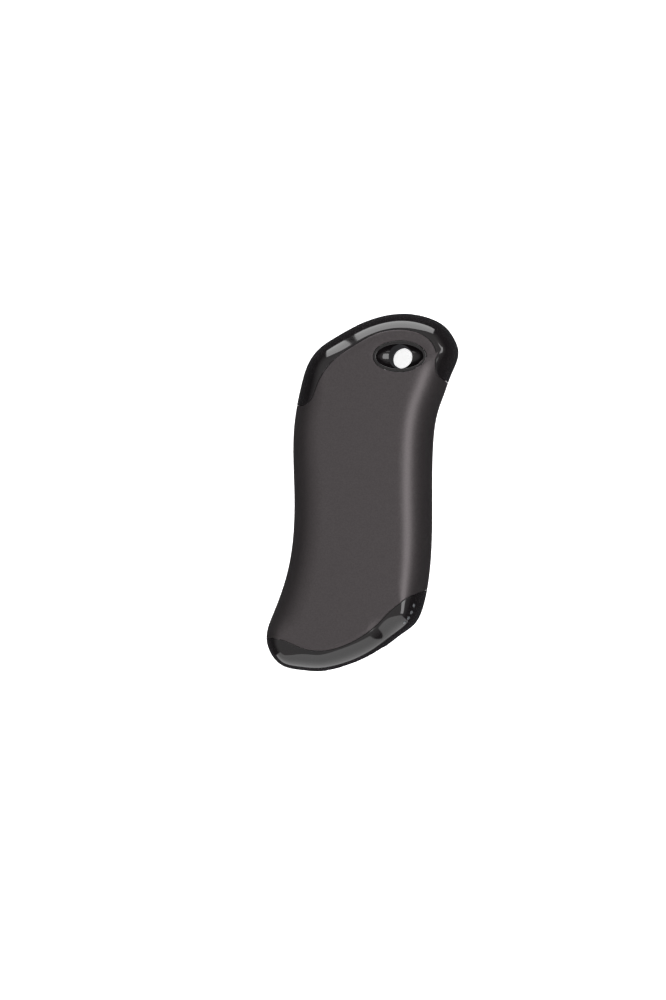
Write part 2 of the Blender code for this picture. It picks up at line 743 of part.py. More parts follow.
def build_housing(side, name):
    """Half of the clamshell: caps flush with the skins, and a floor set in under each skin."""
    made = half_body(name, side, 0.0, SEAM, "gloss_black")
    boolean(made, skin_region(f"{name} skin seat", side, GAP))
    boolean(made, half_body(f"{name} core", side, SKIN + GAP, SEAM), "UNION")
    tongue_inset = INSIDE - LIP_WALL
    if side == REAR:
        tongue = plate(
            f"{name} tongue", inset_outline(tongue_inset), MIDDLE - LIP_HEIGHT, MIDDLE + LIP_HEIGHT
        )
        boolean(made, tongue, "UNION")
    boolean(made, half_body(f"{name} hollow", side, INSIDE, -OVERRUN))
    if side == FRONT:
        rebate = plate(
            f"{name} rebate", inset_outline(tongue_inset - GAP), MIDDLE - OVERRUN,
            MIDDLE + LIP_HEIGHT + GAP,
        )
        boolean(made, rebate)
    add_bosses(made, side)
    window = film_region(
        f"{name} window", side, GAP, FILM_PAST_CELLS + GAP, CUT_FOOT, THICKNESS / 2 + OVERRUN
    )
    boolean(made, window)
    cut_eyelet(made, side)
    cut_screw_holes(made, side)
    cut_ports(made)
    cut_button(made)
    if side == FRONT:
        for light in LIGHT_AXES:
            hole = post(
                f"{name} {light.name} hole", LIGHT_RADIUS + GAP, -LIGHT_PIN, OVERRUN, steps=SMALL_STEPS
            )
            boolean(made, place(hole, light))


def build_heating(side, name):
    """A heater film under the skin and the foam pad that presses it there."""
    film_top = THICKNESS / 2 - SKIN - GAP
    film = film_region(
        f"{name}_heater_film", side, 0.0, FILM_PAST_CELLS, film_top - FILM, film_top
    )
    as_part(film, "film")
    pad_top = film_top - FILM - GAP
    pad = film_region(f"{name}_pad", side, 0.0, 0.0, CELL_DIAMETER / 2 + GAP, pad_top)
    as_part(pad, "foam")


def build_cell(name, across):
    """A cell in its wrap, with the rolled groove under its positive end and the raised contact."""
    radius = CELL_DIAMETER / 2
    half = CELL_LENGTH / 2
    shoulder = half - CELL_NUB
    edge = 2 * CELL_GROOVE
    groove = shoulder - CELL_GROOVE_DROP
    profile = [
        (0.0, half), (CELL_NUB_RADIUS - edge / 2, half), (CELL_NUB_RADIUS, half - edge / 2),
        (CELL_NUB_RADIUS, shoulder), (radius - edge, shoulder), (radius, shoulder - edge),
        (radius, groove + edge), (radius - CELL_GROOVE, groove), (radius, groove - edge),
        (radius, edge - half), (radius - edge, -half), (0.0, -half),
    ]
    made = turned(name, profile, "cell_wrap")
    place(made, CELL_AXIS, (across, 0.0, 0.0), (-math.pi / 2, 0.0, 0.0))


def build_cells():
    across = (CELL_DIAMETER + CELL_SPACE) / 2
    build_cell("cell_left", -across)
    build_cell("cell_right", across)
    for name, end in (("positive_strip", 1), ("negative_strip", -1)):
        strip = box(name, (2 * (across + STRIP_END), STRIP, STRIP_HEIGHT), "nickel")
        place(strip, CELL_AXIS, (0.0, end * (CELL_LENGTH / 2 + GAP + STRIP / 2), 0.0))


def build_board():
    """The board fills the lower end under the cells and is notched for what sits in its edge."""
    made = plate(
        "main_board", inset_outline(INSIDE + GAP), MIDDLE - BOARD / 2, MIDDLE + BOARD / 2
    )
    as_part(made, "board")
    keep = box("board limit", (2 * WIDTH, LENGTH, THICKNESS))
    below = -CELL_LENGTH / 2 - BOARD_PAST_CELLS - LENGTH / 2
    boolean(made, place(keep, CELL_AXIS, (0.0, below, 0.0)), "INTERSECT")
    for name, width, depth, across in (
        ("usb", USB_WIDTH, USB_DEPTH, USB_ACROSS), ("micro", MICRO_WIDTH, MICRO_DEPTH, MICRO_ACROSS),
    ):
        reach = PORT_DEPTH + depth + GAP
        notch = box(f"{name} notch", (width + 2 * GAP, reach + OVERRUN, THICKNESS / 2))
        boolean(made, place(notch, PORT_AXIS, (across, (reach - OVERRUN) / 2, 0.0)))
    reach = BUTTON_DEPTH + BUTTON_TRAVEL + GAP
    width = BUTTON_LENGTH + 2 * BUTTON_FLANGE + 2 * GAP
    notch = box("button notch", (width, reach + OVERRUN, THICKNESS / 2))
    boolean(made, place(notch, BUTTON_AXIS, (0.0, (reach - OVERRUN) / 2, 0.0)))
    reach = BUTTON_DEPTH + PLUNGER_DEPTH + SWITCH_DEPTH + GAP
    notch = box("switch notch", (SWITCH_LENGTH + 2 * GAP, reach, THICKNESS / 2))
    boolean(made, place(notch, BUTTON_AXIS, (0.0, reach / 2, 0.0)))
    for number, (end, across, along) in enumerate(screw_places(), 1):
        if end < 0:
            hole = post(f"board hole {number}", SCREW_RADIUS + GAP, -BOARD, BOARD, steps=SMALL_STEPS)
            boolean(made, place(hole, CELL_AXIS, (across, along, 0.0)))


def on_board(made, carrier, across, along, height):
    """Stands a piece on the board's front at a place about an axis."""
    place(made, carrier, (across, along, BOARD / 2 + GAP + height / 2))


def build_components():
    """Two chips and the converter's coil round the larger socket, and a capacitor beside the cells."""
    chip = box(
        "controller_chip", (CONTROLLER_SIDE, CONTROLLER_SIDE, CHIP_HEIGHT), "chip", COMPONENT_BEVEL
    )
    across = USB_SIDE + COMPONENT_SPACE + CONTROLLER_SIDE / 2
    along = PORT_DEPTH + MICRO_DEPTH + COMPONENT_SPACE + CONTROLLER_SIDE / 2
    on_board(chip, PORT_AXIS, across, along, CHIP_HEIGHT)
    chip = box("charger_chip", (CHARGER_SIDE, CHARGER_SIDE, CHIP_HEIGHT), "chip", COMPONENT_BEVEL)
    across = USB_ACROSS - USB_WIDTH / 2 - COMPONENT_SPACE - CHARGER_SIDE / 2
    along = PORT_DEPTH + MICRO_DEPTH + COMPONENT_SPACE + CHARGER_SIDE / 2
    on_board(chip, PORT_AXIS, across, along, CHIP_HEIGHT)
    coil = box("inductor", (INDUCTOR_SIDE, INDUCTOR_SIDE, INDUCTOR_HEIGHT), "chip", 2 * COMPONENT_BEVEL)
    along = PORT_DEPTH + USB_DEPTH + COMPONENT_SPACE + INDUCTOR_SIDE / 2
    on_board(coil, PORT_AXIS, USB_SIDE - INDUCTOR_SIDE / 2, along, INDUCTOR_HEIGHT)
    half = CAPACITOR_HEIGHT / 2
    profile = [
        (0.0, half), (CAPACITOR_RADIUS - COMPONENT_BEVEL, half),
        (CAPACITOR_RADIUS, half - COMPONENT_BEVEL), (CAPACITOR_RADIUS, -half), (0.0, -half),
    ]
    can = turned("capacitor", profile, "steel", SMALL_STEPS)
    along = -CELL_LENGTH / 2 - CAPACITOR_PAST_CELLS
    on_board(can, CELL_AXIS, -CAPACITOR_SHARE * WIDTH / 2, along, CAPACITOR_HEIGHT)


def build_socket(name, width, height, depth, sheet, across, tongue, tongue_length, tongue_rise):
    """A folded metal shell, open at its mouth, round an insulator with its contact tongue."""
    shell = box(f"{name}_shell", (width, depth, height), "steel", sheet)
    place(shell, PORT_AXIS, (across, PORT_DEPTH + depth / 2, 0.0))
    hollow = box(f"{name} hollow", (width - 2 * sheet, depth, height - 2 * sheet))
    boolean(shell, place(hollow, PORT_AXIS, (across, PORT_DEPTH + depth / 2 - sheet, 0.0)))
    base_depth = (depth - tongue_length) / 2
    inner = sheet + GAP
    base = box(f"{name}_tongue", (width - 2 * inner, base_depth, height - 2 * inner), "socket_plastic")
    base_at = PORT_DEPTH + depth - inner - base_depth / 2
    place(base, PORT_AXIS, (across, base_at, 0.0))
    blade = box(f"{name} blade", (width - 2 * inner - 2 * tongue, tongue_length, tongue))
    place(blade, PORT_AXIS, (across, base_at - tongue_length / 2, tongue_rise))
    boolean(base, blade, "UNION")


def build_button():
    """The button, flush in the rounded corner, with a flange that keeps it in."""
    body = half_body("power_button front", FRONT, 0.0, 0.0)
    made = as_part(body, "gloss_black")
    made.name = "power_button"
    boolean(made, half_body("power_button rear", REAR, 0.0, 0.0), "UNION")
    stem = box(
        "button stem", (BUTTON_LENGTH, 2 * BUTTON_DEPTH, BUTTON_HEIGHT), bevel=BUTTON_CORNER - GAP
    )
    boolean(made, place(stem, BUTTON_AXIS), "INTERSECT")
    flange = box(
        "button flange",
        (BUTTON_LENGTH + 2 * BUTTON_FLANGE, BUTTON_FLANGE_DEPTH, BUTTON_HEIGHT + 2 * BUTTON_FLANGE),
    )
    place(flange, BUTTON_AXIS, (0.0, BUTTON_DEPTH - BUTTON_FLANGE_DEPTH / 2, 0.0))
    boolean(made, flange, "UNION")


def build_switch():
    """The tactile switch behind the button; its plunger moves with the button."""
    start = BUTTON_DEPTH + GAP + PLUNGER_DEPTH - BUTTON_TRAVEL
    body = box("switch_body", (SWITCH_LENGTH, SWITCH_DEPTH, SWITCH_HEIGHT), "chip", COMPONENT_BEVEL)
    place(body, BUTTON_AXIS, (0.0, start + SWITCH_DEPTH / 2, 0.0))
    depth = BUTTON_TRAVEL + GAP
    socket = post("plunger socket", PLUNGER_RADIUS + GAP, -OVERRUN, depth, steps=SMALL_STEPS)
    boolean(body, place(socket, BUTTON_AXIS, (0.0, start + GAP, 0.0), (-math.pi / 2, 0.0, 0.0)))
    plunger = post(
        "switch_plunger", PLUNGER_RADIUS, 0.0, PLUNGER_DEPTH, "socket_plastic", SMALL_STEPS
    )
    place(plunger, BUTTON_AXIS, (0.0, BUTTON_DEPTH + GAP, 0.0), (-math.pi / 2, 0.0, 0.0))


def build_lights():
    """A clear guide whose pins end flush in the rounded edge, over one light each."""
    size = (LED_SPACING * (LIGHT_COUNT - 1) + 2 * GUIDE_END, GUIDE_DEPTH, GUIDE_HEIGHT)
    guide = box("light_guide", size, "light", COMPONENT_BEVEL)
    middle = sum(light_places()) / LIGHT_COUNT
    point, inward = station(middle, GUIDE_NEAR + GUIDE_DEPTH / 2)
    foot = BOARD / 2 + GAP + LED_HEIGHT + GAP
    place(guide, None, (*point, MIDDLE + foot + GUIDE_HEIGHT / 2), (0.0, 0.0, facing(inward)))
    row = axis("light_row", (*point, MIDDLE), facing(inward))
    for number, light in enumerate(LIGHT_AXES, 1):
        pin = post(f"light pin {number}", LIGHT_RADIUS, -LIGHT_PIN, 0.0, steps=SMALL_STEPS)
        boolean(guide, place(pin, light), "UNION")
        led = box(f"led_{number}", (LED_SIDE, LED_SIDE, LED_HEIGHT), "light")
        along = ((LIGHT_COUNT + 1) / 2 - number) * LED_SPACING
        place(led, row, (along, 0.0, BOARD / 2 + GAP + LED_HEIGHT / 2))


def build_screws():
    """Four screws from the rear, hidden under the skin."""
    head_top = THICKNESS / 2 - SKIN - GAP - SCREW_SUNK
    head_foot = head_top - SCREW_HEAD
    profile = [
        (0.0, SCREW_BITE), (SCREW_TIP_RADIUS, SCREW_BITE), (SCREW_RADIUS, SCREW_BITE - SCREW_TIP),
        (SCREW_RADIUS, -head_foot - GAP), (SCREW_HEAD_RADIUS, -head_foot - GAP),
        (SCREW_HEAD_RADIUS, SCREW_CHAMFER - head_top),
        (SCREW_HEAD_RADIUS - SCREW_CHAMFER, -head_top), (0.0, -head_top),
    ]
    for number, (_, across, along) in enumerate(screw_places(), 1):
        screw = turned(f"screw_{number}", profile, "steel", SMALL_STEPS)
        place(screw, CELL_AXIS, (across, along, 0.0))


def build_leads():
    """Leads from the strips and the heater films to the board, in the cells' own axes."""
    end = CELL_LENGTH / 2
    valley = math.sqrt(
        (CELL_DIAMETER / 2 + GAP + LEAD_RADIUS) ** 2 - ((CELL_DIAMETER + CELL_SPACE) / 2) ** 2
    )
    on_top = BOARD / 2 + GAP + LEAD_RADIUS
    red = [
        (0.0, end + STRIP + GAP, valley), (0.0, 0.0, valley), (0.0, -end, valley),
        (0.0, -end - STRIP_END / 2, (valley + on_top) / 2), (0.0, -end - STRIP_END, on_top),
        (0.0, -end - STRIP_END - LEAD_END, on_top),
    ]
    tube("red_lead", red, LEAD_RADIUS, "red_insulation", CELL_AXIS)
    start = -end - GAP - STRIP - GAP - LEAD_RADIUS
    black = [
        (-LEAD_ACROSS, start, -STRIP_HEIGHT / 2),
        (-LEAD_ACROSS, start - LEAD_RADIUS, -on_top - LEAD_RADIUS / 2),
        (-LEAD_ACROSS, start - LEAD_END, -on_top), (-LEAD_ACROSS, start - 2 * LEAD_END, -on_top),
    ]
    tube("black_lead", black, LEAD_RADIUS, "black_insulation", CELL_AXIS)
    film = THICKNESS / 2 - SKIN - GAP - FILM
    across = -HEATER_LEAD_ACROSS
    along = -end - GAP - STRIP - GAP - HEATER_LEAD_RADIUS - HEATER_LEAD_SWAY
    for name, side in (("front", FRONT), ("rear", REAR)):
        foot = BOARD / 2 + GAP
        lead = [
            (across, along, side * (film - GAP)), (across, along, side * (film - HEATER_LEAD_END)),
            (across, along + HEATER_LEAD_SWAY, side * (film + foot) / 2),
            (across, along, side * (foot + HEATER_LEAD_END)), (across, along, side * foot),
        ]
        tube(f"{name}_heater_lead", lead, HEATER_LEAD_RADIUS, "black_insulation", CELL_AXIS)


LIGHT_AXES = [light_axis(number, share) for number, share in enumerate(light_places(), 1)]
bpy.context.view_layer.update()
for face, face_name in ((FRONT, "front"), (REAR, "rear")):
    build_housing(face, f"{face_name}_housing")
    build_skin(face, f"{face_name}_skin")
    build_eyelet(face, f"{face_name}_eyelet")
    build_heating(face, face_name)
build_cells()
build_board()
build_components()
build_socket(
    "usb_a", USB_WIDTH, USB_HEIGHT, USB_DEPTH, USB_SHEET, USB_ACROSS, USB_TONGUE,
    USB_TONGUE_LENGTH, USB_TONGUE_RISE,
)
build_socket(
    "micro_usb", MICRO_WIDTH, MICRO_HEIGHT, MICRO_DEPTH, MICRO_SHEET, MICRO_ACROSS, MICRO_TONGUE,
    MICRO_TONGUE_LENGTH, MICRO_TONGUE_RISE,
)
build_button()
build_switch()
build_lights()
build_screws()
build_leads()
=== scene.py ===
"""The looks of a rechargeable hand warmer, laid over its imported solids, in metres.

It lies on its back. +Z is the normal of its front, +Y runs to the end with the lanyard hole, and +X
is to the right when the front is seen.
"""

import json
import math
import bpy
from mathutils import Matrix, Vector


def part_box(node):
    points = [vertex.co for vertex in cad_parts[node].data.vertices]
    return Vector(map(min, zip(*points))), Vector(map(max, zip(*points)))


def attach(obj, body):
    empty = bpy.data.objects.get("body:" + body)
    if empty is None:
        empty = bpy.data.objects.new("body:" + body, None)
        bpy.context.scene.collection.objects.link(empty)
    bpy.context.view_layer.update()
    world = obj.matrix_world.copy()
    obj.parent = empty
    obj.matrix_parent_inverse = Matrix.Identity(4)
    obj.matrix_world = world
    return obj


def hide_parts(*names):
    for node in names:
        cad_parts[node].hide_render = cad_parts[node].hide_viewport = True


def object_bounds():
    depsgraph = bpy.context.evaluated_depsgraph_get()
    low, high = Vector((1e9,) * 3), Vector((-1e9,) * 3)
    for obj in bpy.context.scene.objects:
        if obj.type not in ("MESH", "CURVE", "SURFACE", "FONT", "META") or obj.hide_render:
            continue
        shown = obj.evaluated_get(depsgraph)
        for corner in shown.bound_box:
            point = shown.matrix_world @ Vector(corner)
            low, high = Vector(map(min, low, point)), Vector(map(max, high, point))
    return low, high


bl_info = {
    "name": "Rechargeable hand warmer",
    "version": (1, 0, 0),
    "blender": (4, 5, 0),
    "location": "3D View > Sidebar > Hand warmer",
    "description": "Lays the visible surfaces and the finishes of a hand warmer over its solids",
    "category": "Object",
}

import bmesh
import bpy
import numpy as np
from bpy.props import FloatProperty, FloatVectorProperty, PointerProperty
from mathutils import Matrix, Vector
from mathutils.geometry import delaunay_2d_cdt

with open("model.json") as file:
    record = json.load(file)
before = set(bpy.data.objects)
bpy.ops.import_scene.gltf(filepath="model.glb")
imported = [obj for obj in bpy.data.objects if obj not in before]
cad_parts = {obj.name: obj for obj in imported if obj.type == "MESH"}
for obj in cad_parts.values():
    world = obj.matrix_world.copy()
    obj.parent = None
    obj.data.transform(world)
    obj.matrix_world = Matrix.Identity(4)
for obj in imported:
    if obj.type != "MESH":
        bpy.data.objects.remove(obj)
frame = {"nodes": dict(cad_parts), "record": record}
CAD_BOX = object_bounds()
CAD_SIZE = [high - low for low, high in zip(*CAD_BOX)]

# Sizes that the solids fix, in metres
OVERRUN = 0.006
CORNER_AVERAGE = 0.016
SEAM = 0.00015
GAP = 0.0003
WALL = 0.0015
CAP_DEPTH = 0.0020  # how far a cap's shell goes in, which ends inside the wall
CAP_FADE = 0.0020  # length over which a cap's rounded edges run out at its two tips
FLAT_RING = 0.0004  # how far those points keep clear of the rims
FLAT_SCALE = 0.0080  # depth into the flat face per radian past the rounding
FLAT_BLEND = 0.0020  # depth short of the flat face within which columns stop being spread
FLAT_GRID = 0.0015  # spacing of the points inside the flat faces
GROOVE = 0.00008  # the shown gap between a skin and what it meets
EYELET_LONG = 0.0171
EYELET_SHORT = 0.0099
EYELET_LEAN = math.radians(8)
EYELET_FLANGE = 0.0018
EYELET_STEP = 0.0006
EYELET_BODY_DEPTH = 0.0050
BOWL_DEPTH = 0.0040
BORE = 0.0066
SLEEVE_WALL = 0.0009
PORT_DEPTH = 0.0024
PORT_POCKET = 0.0009
PORT_MARGIN = 0.0009
PORT_SPACE = 0.0022
PORT_SPLIT = 0.0017
PORT_CORNER = 0.0006
USB_WIDTH = 0.0131
USB_HEIGHT = 0.0057
USB_TONGUE_RISE = 0.0011
USB_TONGUE = 0.0018
MICRO_WIDTH = 0.0076
MICRO_HEIGHT = 0.0029
MICRO_TONGUE = 0.0006
MICRO_TONGUE_RISE = 0.0003
USB_ACROSS = PORT_SPLIT - (PORT_SPACE + USB_WIDTH) / 2
MICRO_ACROSS = PORT_SPLIT + (PORT_SPACE + MICRO_WIDTH) / 2
USB_CORNER = 0.0004
MICRO_CORNER = 0.0006
BUTTON_LENGTH = 0.0082
BUTTON_HEIGHT = 0.0050
BUTTON_DEPTH = 0.0030
BUTTON_FLANGE = 0.0007
BUTTON_FLANGE_DEPTH = 0.0007
BUTTON_CORNER = 0.0008
LIGHT_COUNT = 4
LIGHT_SPACING = 0.0024
LIGHT_RADIUS = 0.0006
LIGHT_INSET = 0.0024
LIGHT_PIN = 0.0052
WINDOW_FOOT = 0.4  # where the window's cut starts, as a share of half the thickness
CELL_LEAN = math.radians(5)
FILM_PAST_CELLS = 0.0028

CELLS = ("cell_left", "cell_right")

# The contacts of each socket: the socket's place across, their height, their places across it,
# their width and length, and how far in they lie
CONTACTS = (
    (USB_ACROSS, USB_TONGUE_RISE - USB_TONGUE / 2, (-0.0035, -0.0010, 0.0010, 0.0035), 0.0010,
     0.0066, 0.0062),
    (MICRO_ACROSS, MICRO_TONGUE_RISE - MICRO_TONGUE / 2,
     (-0.0013, -0.00065, 0.0, 0.00065, 0.0013), 0.0004, 0.0024, 0.0044),
)
CONTACT_THICKNESS = 0.0001
CONTACT_CORNER = 0.00004
CONTACT_STEPS = 3

# Places, as shares of half the width and length
OUTLINE_SHARES = (
    (0.220, 0.997), (0.534, 0.992), (0.753, 0.958), (0.888, 0.902), (0.968, 0.838), (0.920, 0.702),
    (0.861, 0.586), (0.821, 0.505), (0.816, 0.313), (0.999, -0.459), (0.974, -0.576), (0.908, -0.659),
    (0.738, -0.734), (0.596, -0.797), (0.023, -0.959), (-0.228, -0.992), (-0.487, -1.000),
    (-0.700, -0.992), (-0.969, -0.854), (-0.930, -0.714), (-0.821, -0.471), (-0.883, -0.034),
    (-0.995, 0.290), (-0.979, 0.538), (-0.918, 0.668), (-0.790, 0.758), (-0.627, 0.819),
    (-0.433, 0.882),
)
TOP_PARTING_SHARES = (
    (-0.990, 0.423), (-0.874, 0.426), (-0.795, 0.451), (-0.735, 0.524), (-0.604, 0.658),
    (-0.294, 0.790), (-0.054, 0.861), (0.181, 0.894), (0.413, 0.896), (0.620, 0.861),
    (0.719, 0.799), (0.733, 0.733), (0.771, 0.688), (0.894, 0.658),
)
BOTTOM_PARTING_SHARES = (
    (-0.949, -0.847), (-0.768, -0.835), (-0.657, -0.842), (-0.493, -0.861), (-0.304, -0.870),
    (-0.150, -0.860), (0.185, -0.790), (0.326, -0.742), (0.462, -0.681), (0.593, -0.604),
    (0.699, -0.555), (0.795, -0.517), (0.940, -0.481),
)
EYELET_SHARE = (0.272, 0.756)
PORT_SHARE = 0.446
BUTTON_SHARE = 0.370
LIGHT_SHARE = 0.359
FILM_SHARE = 0.905

# Fineness
STATIONS = 720  # the steps round the outline at which the solids stand their pieces
OUTLINE_POINTS = 1440
SPAN_POINTS = 24
PARTING_COLUMNS = 280
SIDE_COLUMNS = 200
RELAX_COLUMNS = 60
ROUNDING_ROWS = 20
INNER_ROWS = 8
EDGE_ROWS = 4
EDGE_SWINGS = [math.pi / 2 * step / EDGE_ROWS for step in range(EDGE_ROWS + 1)]
OVAL_COLUMNS = 240
RIM_ROWS = 12
BOWL_ROWS = 12
SMALL_COLUMNS = 40
SHARP_TURN = math.radians(32)
WELD = 0.000002

# The camera, set where the photograph was taken from
CAMERA_DISTANCE = 0.900
CAMERA_LEAN = math.radians(8)
CAMERA_YAW = math.radians(6)
CAMERA_LENS = 100.04
CAMERA_AIM = (-0.000044, 0.000320)
CAMERA_ACROSS = 0.0096035
CAMERA_UP = 0.0024792

# The soft lights: name, azimuth and tilt in degrees, distance, size, power, aim, and whether
# reflections show them
LAMPS = (
    ("overhead", -12, 84, 0.6, (0.74, 0.54), 5.2, (0.008, CAD_SIZE[1] / 2, CAD_SIZE[2] / 2), True),
    ("lower card", 180, 90, 0.5, (1.1, 0.95), 4.4, (0, -CAD_SIZE[1] / 2, CAD_SIZE[2] / 2), True),
    ("right strip", 83, 40, 0.9, (0.9, 0.44), 5.0, (0, 0, 0.02), True),
    ("fill", 0, 0, 1.6, (1.2, 1.2), 22.0, (0, 0, 0), False),
)
# The surroundings' light by how far up a direction points
SURROUNDINGS = ((0.0, (0.05, 0.05, 0.053, 1.0)), (0.75, (0.62, 0.61, 0.61, 1.0)))
FLOOR_REACH = 3.0
FLOOR_DEPTH = 0.02
FLOOR_DROP = 0.0001  # how far the floor stays clear of the back
FLOOR_GLOW = 0.80

FRONT = 1
REAR = -1
SIDES = ((FRONT, "front"), (REAR, "rear"))


def to_linear(code):
    """An sRGB hex colour as linear red, green, blue and full alpha."""
    channels = np.array([int(code[place:place + 2], 16) for place in (1, 3, 5)]) / 255
    dark = channels / 12.92
    light = ((channels + 0.055) / 1.055) ** 2.4
    return (*np.where(channels <= 0.04045, dark, light).tolist(), 1.0)


def length_setting(name, description, default):
    return FloatProperty(name=name, description=description, default=default, min=0.0, unit="LENGTH")


def colour_setting(name, description, code):
    return FloatVectorProperty(
        name=name, description=description, default=to_linear(code), size=4, min=0.0, max=1.0,
        subtype="COLOR",
    )


class WarmerSizes(bpy.types.PropertyGroup):
    width: length_setting("Width", "Widest span of the outline", CAD_SIZE[0])
    length: length_setting("Length", "Longest span of the outline", CAD_SIZE[1])
    thickness: length_setting("Thickness", "From the flat back to the flat front", CAD_SIZE[2])
    rounding: length_setting("Edge rounding", "How far the rounded edge reaches in", 0.0105)
    skin: length_setting("Skin", "Thickness of the metal skins", 0.0009)
    skin_edge: length_setting("Skin edge", "Radius on the edges of the skins", 0.00016)
    cap_edge: length_setting("Cap edge", "Radius on the edges of the glossy caps", 0.00018)
    eyelet_rim: length_setting("Eyelet rim", "Width of the rim round the lanyard hole", 0.0010)
    rim_crown: length_setting("Rim crown", "How far the eyelet's rim falls off at its edges", 0.00022)
    lens_rise: length_setting("Lens rise", "How far a light's lens domes out of the edge", 0.00012)


class WarmerColours(bpy.types.PropertyGroup):
    skin: colour_setting("Skin", "Satin metal of the skins", "#4d494a")
    cap: colour_setting("Cap", "Glossy moulding of caps, eyelets and button", "#0f0d0e")
    lens: colour_setting("Lens", "Smoked lenses of the lights", "#4e5153")
    gold: colour_setting("Contacts", "Plating of the contacts in the sockets", "#d8b25c")
    floor: colour_setting("Floor", "Pale floor under the warmer", "#f4f4f4")


# Finishes


def add_node(tree, kind, settings=None, values=None, links=None):
    """Adds a node with its settings, its socket values and its links, each as (node, output)."""
    made = tree.nodes.new(kind)
    for name, value in (settings or {}).items():
        setattr(made, name, value)
    for socket, value in (values or {}).items():
        made.inputs[socket].default_value = value
    for socket, (source, output) in (links or {}).items():
        tree.links.new(source.outputs[output], made.inputs[socket])
    return made


def finish(name, light, dark, grain, relief, rough, stretch=(1.0, 1.0, 1.0), detail=3.0, **values):
    """A finish whose colour, gloss and relief vary together with a noise of one grain size."""
    made = bpy.data.materials.get(name)
    if made:
        return made
    made = bpy.data.materials.new(name)
    made.use_nodes = True
    tree = made.node_tree
    shader = tree.nodes["Principled BSDF"]
    place = add_node(tree, "ShaderNodeTexCoord")
    spread = add_node(
        tree, "ShaderNodeMapping", values={"Scale": stretch}, links={"Vector": (place, "Object")}
    )
    noise = add_node(
        tree, "ShaderNodeTexNoise", values={"Scale": 1 / grain, "Detail": detail},
        links={"Vector": (spread, "Vector")},
    )
    tone = add_node(tree, "ShaderNodeValToRGB", links={"Fac": (noise, "Fac")})
    tone.color_ramp.elements[0].position = 0.35
    tone.color_ramp.elements[0].color = dark
    tone.color_ramp.elements[1].position = 0.65
    tone.color_ramp.elements[1].color = light
    gloss = add_node(
        tree, "ShaderNodeMapRange",
        values={"From Min": 0.3, "From Max": 0.7, "To Min": rough[0], "To Max": rough[1]},
        links={"Value": (noise, "Fac")},
    )
    bump = add_node(
        tree, "ShaderNodeBump", values={"Strength": 1.0, "Distance": relief},
        links={"Height": (noise, "Fac")},
    )
    tree.links.new(tone.outputs["Color"], shader.inputs["Base Color"])
    tree.links.new(gloss.outputs["Result"], shader.inputs["Roughness"])
    tree.links.new(bump.outputs["Normal"], shader.inputs["Normal"])
    for socket, value in values.items():
        shader.inputs[socket.replace("_", " ")].default_value = value
    return made


def shade(colour, share):
    """The colour at a share of its brightness."""
    return (*(channel * share for channel in colour[:3]), 1.0)


def satin_anodised_aluminium():
    # Bead-blasted and dyed: a broad soft sheen over a very fine even grain. The real grit is about
    # 0.1 mm, too fine for the picture, so it is drawn at 0.45 mm.
    colour = bpy.context.scene.warmer_colours.skin
    return finish(
        "satin_anodised_aluminium", colour, shade(colour, 0.86), 0.00045, 0.0000035, (0.38, 0.46),
        Metallic=0.85,
    )


def polished_black_abs():
    # Moulded in a polished tool: deep black with clear reflections, bent a little by slow ripples.
    colour = bpy.context.scene.warmer_colours.cap
    return finish(
        "polished_black_abs", colour, shade(colour, 0.8), 0.007, 0.000006, (0.06, 0.10), detail=1.0,
        IOR=1.54,
    )


def milky_polycarbonate():
    # Clear resin with a diffusing filler: a little glassy, and dim while the lights are off.
    colour = bpy.context.scene.warmer_colours.lens
    return finish(
        "milky_polycarbonate", colour, shade(colour, 0.9), 0.0006, 0.000001, (0.12, 0.2), IOR=1.58,
        Transmission_Weight=0.25,
    )


def gold_plate():
    # Thin plating over nickel: warm, bright and slightly drawn along the contact.
    colour = bpy.context.scene.warmer_colours.gold
    return finish("gold_plate", colour, shade(colour, 0.8), 0.0004, 0.000001, (0.2, 0.3), Metallic=1.0)


